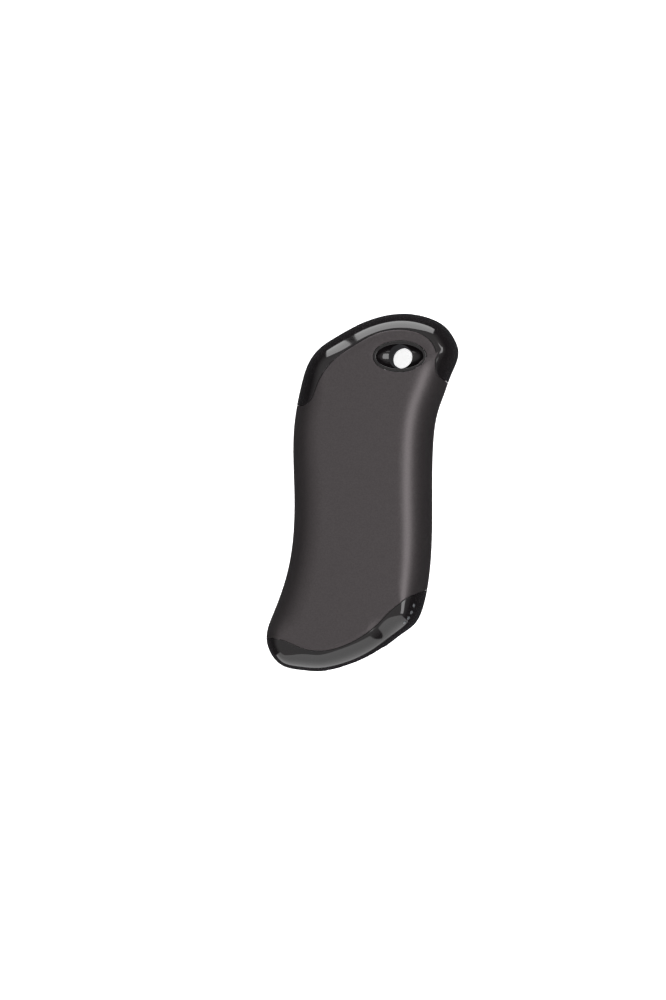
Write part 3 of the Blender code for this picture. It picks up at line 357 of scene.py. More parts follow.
# Finishes of the solids that stay: slot, name, light and dark tone, grain, relief, roughness, more
INNER_FINISHES = (
    # Amber polyimide with etched tracks seen through it: glassy, with darker stripes.
    ("film", "etched_polyimide_film", "#b9741f", "#8f5413", 0.0015, 0.000004, (0.22, 0.34),
     {"stretch": (1.0, 0.08, 1.0), "Coat_Weight": 0.4}),
    # Closed-cell foam: dull, with open pores about 0.6 mm across.
    ("foam", "closed_cell_foam", "#a9adb3", "#8b9096", 0.0006, 0.00012, (0.9, 1.0),
     {"detail": 5.0}),
    # Heat-shrunk PVC sleeve: plain colour with faint tight wrinkles across the cell.
    ("cell_wrap", "pvc_shrink_wrap", "#1c6f86", "#155a6e", 0.0020, 0.00001, (0.25, 0.4),
     {"stretch": (0.4, 1.6, 0.4)}),
    # Rolled nickel strip: bright with fine lines along the rolling.
    ("nickel", "rolled_nickel", "#c9c4ba", "#a8a298", 0.0004, 0.000002, (0.22, 0.38),
     {"stretch": (0.1, 1.0, 1.0), "Metallic": 1.0}),
    # Green solder mask over woven glass: semi-gloss with a faint weave of about 0.5 mm.
    ("board", "solder_mask_on_glass", "#12512f", "#0d3f25", 0.0005, 0.000006, (0.3, 0.5), {}),
    # Bright tin plate on pressed steel: mirror-like, softened by fine handling marks.
    ("steel", "tin_plated_steel", "#c9cacb", "#a3a5a7", 0.0006, 0.000002, (0.18, 0.34),
     {"Metallic": 1.0}),
    # Glass-filled nylon: dull black with a dry, slightly mottled face.
    ("socket_plastic", "glass_filled_nylon", "#1a1a1b", "#121213", 0.0003, 0.000004, (0.42, 0.6),
     {}),
    # Transfer-moulded epoxy: matte, spark-eroded face.
    ("chip", "moulded_epoxy", "#242426", "#1a1a1b", 0.0002, 0.00001, (0.55, 0.7), {}),
    # Silicone insulation: soft sheen that grips dust.
    ("red_insulation", "red_silicone_rubber", "#a81413", "#861010", 0.0005, 0.000004, (0.45, 0.6),
     {}),
    ("black_insulation", "black_silicone_rubber", "#1a1a1b", "#121213", 0.0005, 0.000004,
     (0.45, 0.6), {}),
)


def inner_finishes():
    """The finish of each of the record's material slots."""
    made = {
        slot: finish(name, to_linear(light), to_linear(dark), *grit, **more)
        for slot, name, light, dark, *grit, more in INNER_FINISHES
    }
    made["light"] = milky_polycarbonate()
    made["satin_aluminium"] = satin_anodised_aluminium()
    made["gloss_black"] = polished_black_abs()
    return made


# Curves and surfaces


def spline(points, closed=False):
    """Close points on the cubic spline through the given ones, its slopes from one linear system."""
    count = len(points)
    chord = np.roll(points, -1, axis=0) - points
    step = np.linalg.norm(chord, axis=1)
    before = np.roll(step, 1)
    unit = np.eye(count)
    system = 2 * (before + step)[:, None] * unit + step[:, None] * np.roll(unit, -1, axis=1)
    system += before[:, None] * np.roll(unit, 1, axis=1)
    right = 3 * (
        (step / before)[:, None] * np.roll(chord, 1, axis=0) + (before / step)[:, None] * chord
    )
    if not closed:
        system[[0, -1]] = 0.0
        system[[0, -1], [0, -1]] = 2.0
        system[[0, -1], [1, -2]] = 1.0
        right[[0, -1]] = 3 * chord[[0, -2]] / step[[0, -2], None]
    slope = np.linalg.solve(system, right)
    share = (np.arange(SPAN_POINTS) / SPAN_POINTS)[None, :, None]
    after = np.roll(points, -1, axis=0)[:, None]
    late = np.roll(slope, -1, axis=0)[:, None]
    reach = step[:, None, None]
    dense = (
        (1 + 2 * share) * (1 - share) ** 2 * points[:, None] + share**2 * (3 - 2 * share) * after
        + reach * share * (1 - share) ** 2 * slope[:, None] + reach * share**2 * (share - 1) * late
    )
    if closed:
        return dense.reshape(-1, 2)
    return np.vstack([dense[:-1].reshape(-1, 2), points[-1:]])


def averaged(values, reach):
    """The values round a closed path, each averaged with its neighbours under a bell-shaped window."""
    window = np.hanning(2 * reach + 3)[1:-1]
    padded = np.concatenate([values[-reach:], values, values[:reach]])
    return np.convolve(padded, window / window.sum(), "valid")


class Body:
    """The bean outline at the middle plane, its inward normals and the reach of its rounding."""

    def __init__(self, sizes):
        self.half = np.array([sizes.width, sizes.length]) / 2
        self.height = sizes.thickness / 2
        dense = spline(np.array(OUTLINE_SHARES) * self.half, closed=True)
        span = dense.max(axis=0) - dense.min(axis=0)
        dense = (dense - (dense.max(axis=0) + dense.min(axis=0)) / 2) * 2 * self.half / span
        ring = np.vstack([dense, dense[:1]])
        run = np.concatenate([[0.0], np.cumsum(np.linalg.norm(np.diff(ring, axis=0), axis=1))])
        self.girth = run[-1]
        wanted = self.girth * np.arange(OUTLINE_POINTS) / OUTLINE_POINTS
        self.points = np.stack([np.interp(wanted, run, ring[:, axis]) for axis in range(2)], axis=1)
        along = np.roll(self.points, -1, axis=0) - np.roll(self.points, 1, axis=0)
        along /= np.linalg.norm(along, axis=1)[:, None]
        self.inward = np.stack([along[:, 1], -along[:, 0]], axis=1)
        step = self.girth / OUTLINE_POINTS
        chord = np.roll(self.points, -1, axis=0) - self.points
        heading = np.arctan2(chord[:, 1], chord[:, 0])
        change = (np.roll(heading, 1) - heading + math.pi) % (2 * math.pi) - math.pi
        bend = averaged(change / step, round(CORNER_AVERAGE / step / 2)).clip(0.0, None)
        reach = sizes.rounding / (1 + sizes.rounding * bend)
        self.reach = averaged(reach, round(CORNER_AVERAGE / step / 4))

    def at(self, turns):
        """Outline point, inward normal and reach at shares of the way round, between the samples."""
        place = np.mod(turns, 1.0) * OUTLINE_POINTS
        low = np.floor(place).astype(int) % OUTLINE_POINTS
        high = (low + 1) % OUTLINE_POINTS
        share = place - np.floor(place)
        wide = share[..., None]
        return (
            self.points[low] * (1 - wide) + self.points[high] * wide,
            self.inward[low] * (1 - wide) + self.inward[high] * wide,
            self.reach[low] * (1 - share) + self.reach[high] * share,
        )

    def locate(self, plan):
        """The share of the way round nearest to each point, and the point's depth in from there."""
        far = np.linalg.norm(plan[:, None] - self.points[None], axis=2)
        turns = far.argmin(axis=1) / OUTLINE_POINTS
        for _ in range(12):
            point, inward, _ = self.at(turns)
            along = np.stack([-inward[:, 1], inward[:, 0]], axis=1)
            turns = turns + ((plan - point) * along).sum(axis=1) / self.girth
        point, inward, _ = self.at(turns)
        return np.mod(turns, 1.0), ((plan - point) * inward).sum(axis=1)

    def surface(self, turns, angles, inset, side):
        """Points of the outside set in by an inset. Each is out from the flat outline by the cosine
        of its angle and away from the middle plane by its sine; past a right angle it lies in the
        flat face, further in by what is left of the angle."""
        point, inward, reach = self.at(turns)
        steep = np.minimum(angles, math.pi / 2)
        depth = reach - (reach - inset) * np.cos(steep) + (angles - steep) * FLAT_SCALE
        plan = point + inward * depth[..., None]
        height = self.height + side * (self.height - inset) * np.sin(steep)
        return np.concatenate([plan, height[..., None]], axis=-1)

    def angles(self, turns, depth, inset):
        """The angles of the surface set in by an inset at depths in from the outline."""
        _, _, reach = self.at(turns)
        steep = np.arccos(((reach - depth) / (reach - inset)).clip(0.0, 1.0))
        return steep + np.maximum(depth - reach, 0.0) / FLAT_SCALE

    def raised(self, turns, depth, plan, inset, side):
        """The points of the surface set in by an inset over a plan, at their depths."""
        steep = np.minimum(self.angles(turns, depth, inset), math.pi / 2)
        return np.column_stack([plan, self.height + side * (self.height - inset) * np.sin(steep)])

    def station(self, share, inset=0.0):
        """A point of the outline at one of the solids' own stations, and its inward direction."""
        turns = np.array([round(share * STATIONS) / STATIONS])
        point, inward, reach = self.at(turns)
        return point[0] + inward[0] * inset, inward[0] / np.linalg.norm(inward[0]), reach[0]

    def carrier(self, share):
        """The frame of what sits in the edge at a share: its +Y points straight in."""
        point, inward, _ = self.station(share)
        turn = math.atan2(-inward[0], inward[1])
        return Matrix.Translation((*point, self.height)) @ Matrix.Rotation(turn, 4, "Z")


def parting(body, shares):
    """A parting line across the body, run straight on past both sides, and its normals to the left."""
    path = spline(np.array(shares) * body.half)
    run = np.linspace(OVERRUN, 0.0, SPAN_POINTS, endpoint=False)[:, None]
    first = (path[0] - path[1]) / np.linalg.norm(path[0] - path[1])
    last = (path[-1] - path[-2]) / np.linalg.norm(path[-1] - path[-2])
    path = np.vstack([path[0] + first * run, path, path[-1] + last * run[::-1]])
    along = np.gradient(path, axis=0)
    along /= np.linalg.norm(along, axis=1)[:, None]
    return path, np.stack([-along[:, 1], along[:, 0]], axis=1)


def between(values, where):
    """Rows of values read at places between them."""
    index = np.arange(len(values))
    return np.stack([np.interp(where, index, values[:, axis]) for axis in range(2)], axis=1)


def parting_edge(body, shares, sideways, inset, level, tapered=0.0):
    """A parting line moved sideways, on the surface set in by an inset, from the level where it
    starts at the left to the level where it ends: shares of the way round, depths, plan and normals.
    A tapered move is added, which grows from nothing at both ends."""
    path, left = parting(body, shares)
    moved = path + left * sideways
    low = math.asin(level / (body.height - inset))
    turns, depth = body.locate(moved)
    _, _, reach = body.at(turns)
    inside = depth - (reach - (reach - inset) * math.cos(low))
    first = int(np.argmax(inside > 0))
    last = len(inside) - 1 - int(np.argmax(inside[::-1] > 0))
    begin = first - inside[first] / (inside[first] - inside[first - 1])
    end = last + inside[last] / (inside[last] - inside[last + 1])
    spread = (1 - np.cos(math.pi * np.arange(PARTING_COLUMNS + 1) / PARTING_COLUMNS)) / 2
    where = begin + (end - begin) * spread
    plan = between(moved, where)
    normal = between(left, where)
    run = np.concatenate([[0.0], np.cumsum(np.linalg.norm(np.diff(plan, axis=0), axis=1))])
    grown = (np.minimum(run, run[-1] - run) / CAP_FADE).clip(0.0, 1.0)
    plan = plan + normal * (grown * tapered)[:, None]
    turns, depth = body.locate(plan)
    ends = [0, -1]
    point, inward, reach = body.at(turns[ends])
    depth[ends] = reach - (reach - inset) * math.cos(low)
    plan[ends] = point + inward * depth[ends][:, None]
    return turns, depth, plan, normal


def skin_edge(body, shrink, inset):
    """The closed edge of a skin, set in by a shrink, on the surface set in by an inset: shares of the
    way round, depths, plan and normals into the skin, clockwise from the left end of its top."""
    level = SEAM + shrink
    low = math.asin(level / (body.height - inset))
    top = parting_edge(body, TOP_PARTING_SHARES, -shrink, inset, level)
    bottom = parting_edge(body, BOTTOM_PARTING_SHARES, shrink, inset, level)
    top_turns = np.where(top[0] > 0.5, top[0] - 1.0, top[0])
    bottom = [values[::-1] for values in bottom]
    sides = []
    for start, stop in ((top_turns[-1], bottom[0][0]), (bottom[0][-1], top_turns[0] + 1.0)):
        turns = np.linspace(start, stop, SIDE_COLUMNS, endpoint=False)
        point, inward, reach = body.at(turns)
        depth = reach - (reach - inset) * math.cos(low)
        sides.append((turns, depth, point + inward * depth[:, None], inward))
    runs = (
        [top_turns[:-1], top[1][:-1], top[2][:-1], -top[3][:-1]], sides[0],
        [values[:-1] for values in bottom], sides[1],
    )
    return [np.concatenate(values) for values in zip(*runs)]


def relaxed(turns):
    """The same shares of the way round, spread more evenly over the columns."""
    line = np.arange(len(turns)) / len(turns)
    return averaged(turns - line, RELAX_COLUMNS) + line


def inward_rows(body, edge, inset, side, steps):
    """Rows from a closed edge up the rounding to the rim of the flat face. Where the edge itself
    lies in the flat face, the rows stay on it."""
    turns, depth, plan, _ = edge
    _, _, reach = body.at(turns)
    left_over = ((reach - depth) / FLAT_BLEND).clip(0.0, 1.0)
    target = turns + (relaxed(turns) - turns) * left_over
    angles = body.angles(turns, depth, inset)
    flat = (depth >= reach)[:, None]
    top = np.full(len(turns), body.height + side * (body.height - inset))
    level = np.column_stack([plan, top])
    rows = []
    for step in range(1, steps + 1):
        share = step / steps
        steep = angles + (math.pi / 2 - angles) * share
        rounded = body.surface(turns + (target - turns) * share, steep, inset, side)
        rows.append(np.where(flat, level, rounded))
    return rows


def within(points, loop):
    """Which points lie inside a closed loop: a line to the right of each crosses it an odd number
    of times."""
    start, stop = loop[None], np.roll(loop, -1, axis=0)[None]
    across, up = points[:, None, 0], points[:, None, 1]
    crosses = (start[..., 1] > up) != (stop[..., 1] > up)
    rise = np.where(crosses, stop[..., 1] - start[..., 1], 1.0)
    meets = start[..., 0] + (up - start[..., 1]) * (stop[..., 0] - start[..., 0]) / rise
    return (crosses & (across < meets)).sum(axis=1) % 2 == 1


def flat_face(loop, hole, height):
    """The points and triangles of a flat face between a closed loop and a hole in it, over an even
    grid of points that keeps clear of both."""
    rims = np.vstack([loop, hole])
    low, high = loop.min(axis=0), loop.max(axis=0)
    axes = [np.arange(low[axis], high[axis], FLAT_GRID) for axis in range(2)]
    grid = np.stack(np.meshgrid(*axes), axis=-1).reshape(-1, 2)
    grid = grid[np.linalg.norm(grid[:, None] - rims[None], axis=2).min(axis=1) > FLAT_RING]
    edges = [
        (start + step, start + (step + 1) % count)
        for start, count in ((0, len(loop)), (len(loop), len(hole))) for step in range(count)
    ]
    every = [Vector(point) for point in np.vstack([rims, grid]).tolist()]
    made = delaunay_2d_cdt(every, edges, [], 0, WELD / 100, False)
    points = np.array([tuple(point) for point in made[0]])
    triangles = np.array(made[2])
    middle = points[triangles].mean(axis=1)
    triangles = triangles[within(middle, loop) & ~within(middle, hole)]
    return np.column_stack([points, np.full(len(points), height)]), triangles


def grid_faces(rows):
    """The points and quads through rows of equal count, closed round each row."""
    grid = np.stack(rows)
    index = np.arange(grid.shape[0] * grid.shape[1]).reshape(grid.shape[:2])
    after = np.roll(index, -1, axis=1)
    quads = np.stack([index[:-1], index[1:], after[1:], after[:-1]], axis=-1)
    return grid.reshape(-1, 3), quads.reshape(-1, 4)


def mesh_of_rows(name, rows, capped=True):
    """A mesh through rows of points of equal count, closed round each row, with a face on the first
    and the last if it is capped. Its faces point outwards."""
    points, quads = grid_faces(rows)
    faces = quads.tolist()
    if capped:
        ends = np.arange(len(points)).reshape(len(rows), -1)[[0, -1]]
        faces += [ends[0].tolist(), ends[1][::-1].tolist()]
    return mesh_from(name, points.tolist(), faces)


def mesh_from(name, points, faces):
    mesh = bpy.data.meshes.new(name)
    mesh.from_pydata(points, [], faces)
    tidy(mesh)
    return mesh


def tidy(mesh):
    """Welds coincident points, turns the faces outwards and shades the mesh smooth between edges."""
    cage = bmesh.new()
    cage.from_mesh(mesh)
    bmesh.ops.remove_doubles(cage, verts=cage.verts, dist=WELD)
    bmesh.ops.recalc_face_normals(cage, faces=cage.faces)
    wide = [face for face in cage.faces if len(face.verts) > 4]
    bmesh.ops.triangulate(cage, faces=wide, ngon_method="EAR_CLIP")
    cage.to_mesh(mesh)
    cage.free()
    smooth(mesh)


def smooth(mesh):
    mesh.shade_smooth()
    mesh.set_sharp_from_angle(angle=SHARP_TURN)


def new_object(name, mesh):
    made = bpy.data.objects.new(name, mesh)
    bpy.context.scene.collection.objects.link(made)
    return made


def settle(piece):
    """Applies the piece's modifiers."""
    graph = bpy.context.evaluated_depsgraph_get()
    mesh = bpy.data.meshes.new_from_object(piece.evaluated_get(graph))
    piece.modifiers.clear()
    piece.data = mesh
    smooth(mesh)
    return piece


def add_cuts(piece, cutters, operation="DIFFERENCE"):
    for cutter in cutters:
        step = piece.modifiers.new(cutter.name, "BOOLEAN")
        step.object = cutter
        step.operation = operation
        step.solver = "EXACT"


def drop(pieces):
    for piece in pieces:
        bpy.data.objects.remove(piece)


def cut(piece, cutters, operation="DIFFERENCE"):
    """Cuts the piece with each cutter, then drops the cutters."""
    add_cuts(piece, cutters, operation)
    settle(piece)
    drop(cutters)
    return piece


def joined(name, pieces):
    """One object with the shells of several."""
    cage = bmesh.new()
    for piece in pieces:
        cage.from_mesh(piece.data)
        bpy.data.objects.remove(piece)
    mesh = bpy.data.meshes.new(name)
    cage.to_mesh(mesh)
    cage.free()
    smooth(mesh)
    return new_object(name, mesh)


def seat(piece, finish_of_piece, body="case", stands_for=()):
    """Gives a finished piece its finish, the body it rides on and the nodes it stands for."""
    piece.data.materials.clear()
    piece.data.materials.append(finish_of_piece)
    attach(piece, body)
    if stands_for:
        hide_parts(*stands_for)
    return piece


def box(name, size, matrix, corner=0.0, steps=6):
    """A box about the matrix's origin, its edges along the matrix's Y rounded by a corner radius.
    Its outline is a square corner swung out by the radius, carried along Y."""
    half = np.array([size[0], size[2]]) / 2 - corner
    swing = np.linspace(0.0, math.pi / 2, steps if corner else 1)
    quarter = np.concatenate([swing + turn * math.pi / 2 for turn in range(4)])
    signs = np.repeat(np.array([(1, 1), (-1, 1), (-1, -1), (1, -1)]), len(swing), axis=0)
    loop = signs * half + corner * np.stack([np.cos(quarter), np.sin(quarter)], axis=1)
    ends = []
    for end in (-size[1] / 2, size[1] / 2):
        ends.append(np.stack([loop[:, 0], np.full(len(loop), end), loop[:, 1]], axis=1))
    mesh = mesh_of_rows(name, ends)
    mesh.transform(matrix)
    return new_object(name, mesh)


def prism(name, outline, low, high):
    """A flat outline carried from one height to another."""
    ends = [np.column_stack([outline, np.full(len(outline), height)]) for height in (low, high)]
    return new_object(name, mesh_of_rows(name, ends))


def turned(name, profile, matrix, columns=SMALL_COLUMNS):
    """A profile of (radius, height) points turned about the matrix's own Z."""
    angles = 2 * math.pi * np.arange(columns) / columns
    ring = np.stack([np.cos(angles), np.sin(angles)], axis=1)
    rows = [np.column_stack([ring * radius, np.full(columns, height)]) for radius, height in profile]
    mesh = mesh_of_rows(name, rows)
    mesh.transform(matrix)
    return new_object(name, mesh)


def clipped(outline, origin, normal):
    """The part of a closed outline on the side of a line that the normal points to."""
    height = (outline - origin) @ normal
    start = int(np.argmax((height > 0) & (np.roll(height, 1) <= 0)))
    outline = np.roll(outline, -start, axis=0)
    height = np.roll(height, -start)
    count = int((height > 0).sum())
    if count == len(outline):
        return outline
    share = height[count - 1] / (height[count - 1] - height[count])
    leaving = outline[count - 1] + (outline[count] - outline[count - 1]) * share
    share = height[-1] / (height[-1] - height[0])
    coming = outline[-1] + (outline[0] - outline[-1]) * share
    return np.vstack([coming, outline[:count], leaving])


# The pieces


def eyelet_matrix(body):
    place = Vector((EYELET_SHARE[0] * body.half[0], EYELET_SHARE[1] * body.half[1], 0.0))
    return Matrix.Translation(place) @ Matrix.Rotation(EYELET_LEAN, 4, "Z")


def oval_radius(angles, long_half, short_half):
    """The polar radius of an ellipse: the product of its halves over the root of their mixed squares."""
    return long_half * short_half / np.hypot(short_half * np.cos(angles), long_half * np.sin(angles))


def oval_outline(grown):
    """The oval of the lanyard hole, grown all round."""
    angles = 2 * math.pi * np.arange(OVAL_COLUMNS) / OVAL_COLUMNS
    radius = oval_radius(angles, EYELET_LONG / 2 + grown, EYELET_SHORT / 2 + grown)
    return np.stack([radius * np.cos(angles), radius * np.sin(angles)], axis=1)


def oval_cutter(name, body, grown, low, high):
    """An oval post along the lanyard hole, grown all round."""
    made = prism(name, oval_outline(grown), low, high)
    made.data.transform(eyelet_matrix(body))
    return made


def make_skin(body, sizes, side, name):
    """One formed skin: from the rim of its inner flat out to its edge, round the edge and in to the
    rim of its outer flat, then both flat faces and the edge of the oval hole through them."""
    radius = sizes.skin_edge
    edge = skin_edge(body, 0.0, sizes.skin)
    rows = inward_rows(body, edge, sizes.skin, side, INNER_ROWS)[::-1]
    rows.append(body.raised(*edge[:3], sizes.skin, side))
    for swing in reversed(EDGE_SWINGS):
        inset = radius * (1 - math.cos(swing))
        edge = skin_edge(body, radius * (1 - math.sin(swing)), inset)
        rows.append(body.raised(*edge[:3], inset, side))
    rows += inward_rows(body, edge, 0.0, side, ROUNDING_ROWS)
    place = np.array(eyelet_matrix(body))
    steps = [
        (GROOVE + radius * (1 - math.sin(swing)), radius * (1 - math.cos(swing)))
        for swing in EDGE_SWINGS
    ]
    hole = []
    for grown, inset in steps + [(GROOVE, sizes.skin)]:
        oval = oval_outline(grown) @ place[:2, :2].T + place[:2, 3]
        level = body.height + side * (body.height - inset)
        hole.append(np.column_stack([oval, np.full(len(oval), level)]))
    shells = [grid_faces(rows), grid_faces(hole)]
    shells.append(flat_face(rows[-1][:, :2], hole[0][:, :2], rows[-1][0, 2]))
    shells.append(flat_face(rows[0][:, :2], hole[-1][:, :2], rows[0][0, 2]))
    points, faces, start = [], [], 0
    for some, these in shells:
        points += some.tolist()
        faces += (these + start).tolist()
        start += len(some)
    return new_object(name, mesh_from(name, points, faces))


def near(turns, outward):
    """Shares of the way round without a jump: the upper cap lies about the outline's start."""
    return np.where(turns > 0.5, turns - 1.0, turns) if outward > 0 else turns


def tip_fade(body, turns):
    """Grows from nothing at a cap's two tips to one within the length of the fade."""
    ends = np.minimum(np.abs(turns - turns[0]), np.abs(turns - turns[-1])) * body.girth
    return (ends / CAP_FADE).clip(0.0, 1.0)


def cap_face(body, edge, outward, inset, level, steps, side):
    """Rows from a cap's parting line down one of its surfaces to a level over the seam."""
    turns = near(edge[0], outward)
    angles = body.angles(turns, edge[1], inset)
    low = np.arcsin(level / (body.height - inset))
    even = np.linspace(turns[0], turns[-1], len(turns))
    rows = []
    for step in range(1, steps + 1):
        share = step / steps
        rows.append(body.surface(
            turns + (even - turns) * share, angles + (low - angles) * share, inset, side
        ))
    return rows


def make_cap(body, sizes, side, name, shares, outward):
    """One glossy end cap as a closed shell with pointed tips: up its inner surface to the parting
    line, over the rounded edge, down its outer surface and round the edge at the seam."""
    radius = sizes.cap_edge
    edge = parting_edge(body, shares, outward * GROOVE, CAP_DEPTH, SEAM)
    inner = cap_face(body, edge, outward, CAP_DEPTH, SEAM, INNER_ROWS, side)
    rows = inner[::-1] + [body.raised(*edge[:3], CAP_DEPTH, side)]
    for swing in reversed(EDGE_SWINGS):
        shrink = radius * (1 - math.sin(swing))
        edge = parting_edge(body, shares, outward * GROOVE, 0.0, SEAM, outward * shrink)
        fade = tip_fade(body, near(edge[0], outward))
        inset = radius * (1 - math.cos(swing)) * fade
        rows.append(body.raised(*edge[:3], inset, side))
    even = np.linspace(*near(edge[0], outward)[[0, -1]], PARTING_COLUMNS + 1)
    fade = tip_fade(body, even)
    rows += cap_face(body, edge, outward, 0.0, SEAM + radius * fade, ROUNDING_ROWS, side)
    for swing in EDGE_SWINGS[1:]:
        level = SEAM + radius * (1 - math.sin(swing)) * fade
        inset = radius * (1 - math.cos(swing)) * fade
        rows.append(body.surface(even, np.arcsin(level / (body.height - inset)), inset, side))
    grid = np.stack(rows)
    index = np.arange(grid.shape[0] * grid.shape[1]).reshape(grid.shape[:2])
    after = np.roll(index, -1, axis=0)
    quads = np.stack([index[:, :-1], index[:, 1:], after[:, 1:], after[:, :-1]], axis=-1)
    faces = quads.reshape(-1, 4).tolist()
    return new_object(name, mesh_from(name, grid.reshape(-1, 3).tolist(), faces))


def make_core(body, sizes, side, name):
    """The housing under the skins, as a shell of one wall from the seam to its flat floor."""
    turns = np.arange(STATIONS) / STATIONS
    outside = sizes.skin + GAP
    rows = []
    for inset, steps in ((outside + WALL, INNER_ROWS), (outside, ROUNDING_ROWS)):
        low = math.asin(SEAM / (body.height - inset))
        angles = np.linspace(low, math.pi / 2, steps + 1)
        if inset > outside:
            angles = angles[::-1]
        rows += [body.surface(turns, np.full(STATIONS, angle), inset, side) for angle in angles]
    return new_object(name, mesh_of_rows(name, rows))


def window_outline(body):
    """The heater's window: the outline at a share of the rounding's reach, ended past the cells."""
    turns = np.arange(STATIONS) / STATIONS
    point, inward, reach = body.at(turns)
    outline = point + inward * (reach * FILM_SHARE - GAP)[:, None]
    along = np.array([-math.sin(CELL_LEAN), math.cos(CELL_LEAN)])
    boxes = np.array([[corner[:2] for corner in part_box(name)] for name in CELLS])
    middle = (boxes.min(axis=(0, 1)) + boxes.max(axis=(0, 1))) / 2
    width, length = boxes[0, 1] - boxes[0, 0]
    sine = math.sin(CELL_LEAN)
    cosine = math.cos(CELL_LEAN)
    cell = (length * cosine - width * sine) / (cosine**2 - sine**2)
    reach_along = cell / 2 + FILM_PAST_CELLS + GAP
    outline = clipped(outline, middle + along * reach_along, -along)
    return clipped(outline, middle - along * reach_along, along)


def port_cutters(body):
    """The shallow pocket in the lower edge and an opening for each socket."""
    carrier = body.carrier(PORT_SHARE)
    width = USB_WIDTH + PORT_SPACE + MICRO_WIDTH + 2 * PORT_MARGIN
    height = USB_HEIGHT + 2 * PORT_MARGIN
    across = PORT_SPLIT + (MICRO_WIDTH - USB_WIDTH) / 2
    pocket = carrier @ Matrix.Translation((across, 0.0, 0.0))
    cutters = [box("port pocket", (width, 2 * PORT_POCKET, height), pocket, PORT_CORNER)]
    for name, width, height, across, corner in (
        ("usb mouth", USB_WIDTH, USB_HEIGHT, USB_ACROSS, USB_CORNER),
        ("micro mouth", MICRO_WIDTH, MICRO_HEIGHT, MICRO_ACROSS, MICRO_CORNER),
    ):
        cutters.append(box(
            name, (width + 2 * GAP, 2 * OVERRUN, height + 2 * GAP),
            carrier @ Matrix.Translation((across, 0.0, 0.0)), corner,
        ))
    return cutters


def button_cutter(body, grown=GAP):
    return box(
        "button slot", (BUTTON_LENGTH + 2 * grown, 2 * OVERRUN, BUTTON_HEIGHT + 2 * grown),
        body.carrier(BUTTON_SHARE), BUTTON_CORNER + grown,
    )


def light_matrices(body):
    """The frame of each light on the rounded edge, its +Z along the surface's own normal."""
    frames = []
    for number in range(LIGHT_COUNT):
        share = LIGHT_SHARE + number * LIGHT_SPACING / body.girth
        point, inward, reach = body.station(share, LIGHT_INSET)
        lean = math.acos(1 - LIGHT_INSET / reach)
        out = Vector((
            -inward[0] * body.height * math.cos(lean), -inward[1] * body.height * math.cos(lean),
            reach * math.sin(lean),
        ))
        place = Matrix.Translation((*point, body.height * (1 + math.sin(lean))))
        frames.append(place @ out.to_track_quat("Z", "Y").to_matrix().to_4x4())
    return frames


class WARMER_OT_skins(bpy.types.Operator):
    """Lay the two formed metal skins over their solids"""

    bl_idname = "warmer.skins"
    bl_label = "Metal skins"

    def execute(self, context):
        sizes = context.scene.warmer_sizes
        body = Body(sizes)
        for side, face in SIDES:
            made = make_skin(body, sizes, side, f"{face}_formed_skin")
            seat(made, satin_anodised_aluminium(), stands_for=[f"{face}_skin"])
        return {"FINISHED"}


class WARMER_OT_housings(bpy.types.Operator):
    """Lay the glossy caps and the floor under the skins over the housings"""

    bl_idname = "warmer.housings"
    bl_label = "Housings"

    def execute(self, context):
        sizes = context.scene.warmer_sizes
        body = Body(sizes)
        for side, face in SIDES:
            upper = make_cap(body, sizes, side, f"{face} upper cap", TOP_PARTING_SHARES, 1)
            lower = make_cap(body, sizes, side, f"{face} lower cap", BOTTOM_PARTING_SHARES, -1)
            core = make_core(body, sizes, side, f"{face} core")
            cutters = port_cutters(body) + [button_cutter(body)]
            if side == FRONT:
                for matrix in light_matrices(body):
                    profile = [
                        (LIGHT_RADIUS + GAP / 3, -LIGHT_PIN), (LIGHT_RADIUS + GAP / 3, OVERRUN),
                    ]
                    cutters.append(turned("light hole", profile, matrix))
            past = body.height * (1 + side) + side * OVERRUN
            foot = body.height * (1 + side * WINDOW_FOOT)
            window = prism("window", window_outline(body), *sorted((foot, past)))
            hole = oval_cutter("eyelet hole", body, GAP, *sorted((body.height, past)))
            add_cuts(lower, cutters)
            add_cuts(core, [*cutters, window, hole])
            settle(lower)
            settle(core)
            drop([*cutters, window, hole])
            made = joined(f"{face}_moulded_housing", [upper, lower, core])
            seat(made, polished_black_abs(), stands_for=[f"{face}_housing"])
        return {"FINISHED"}


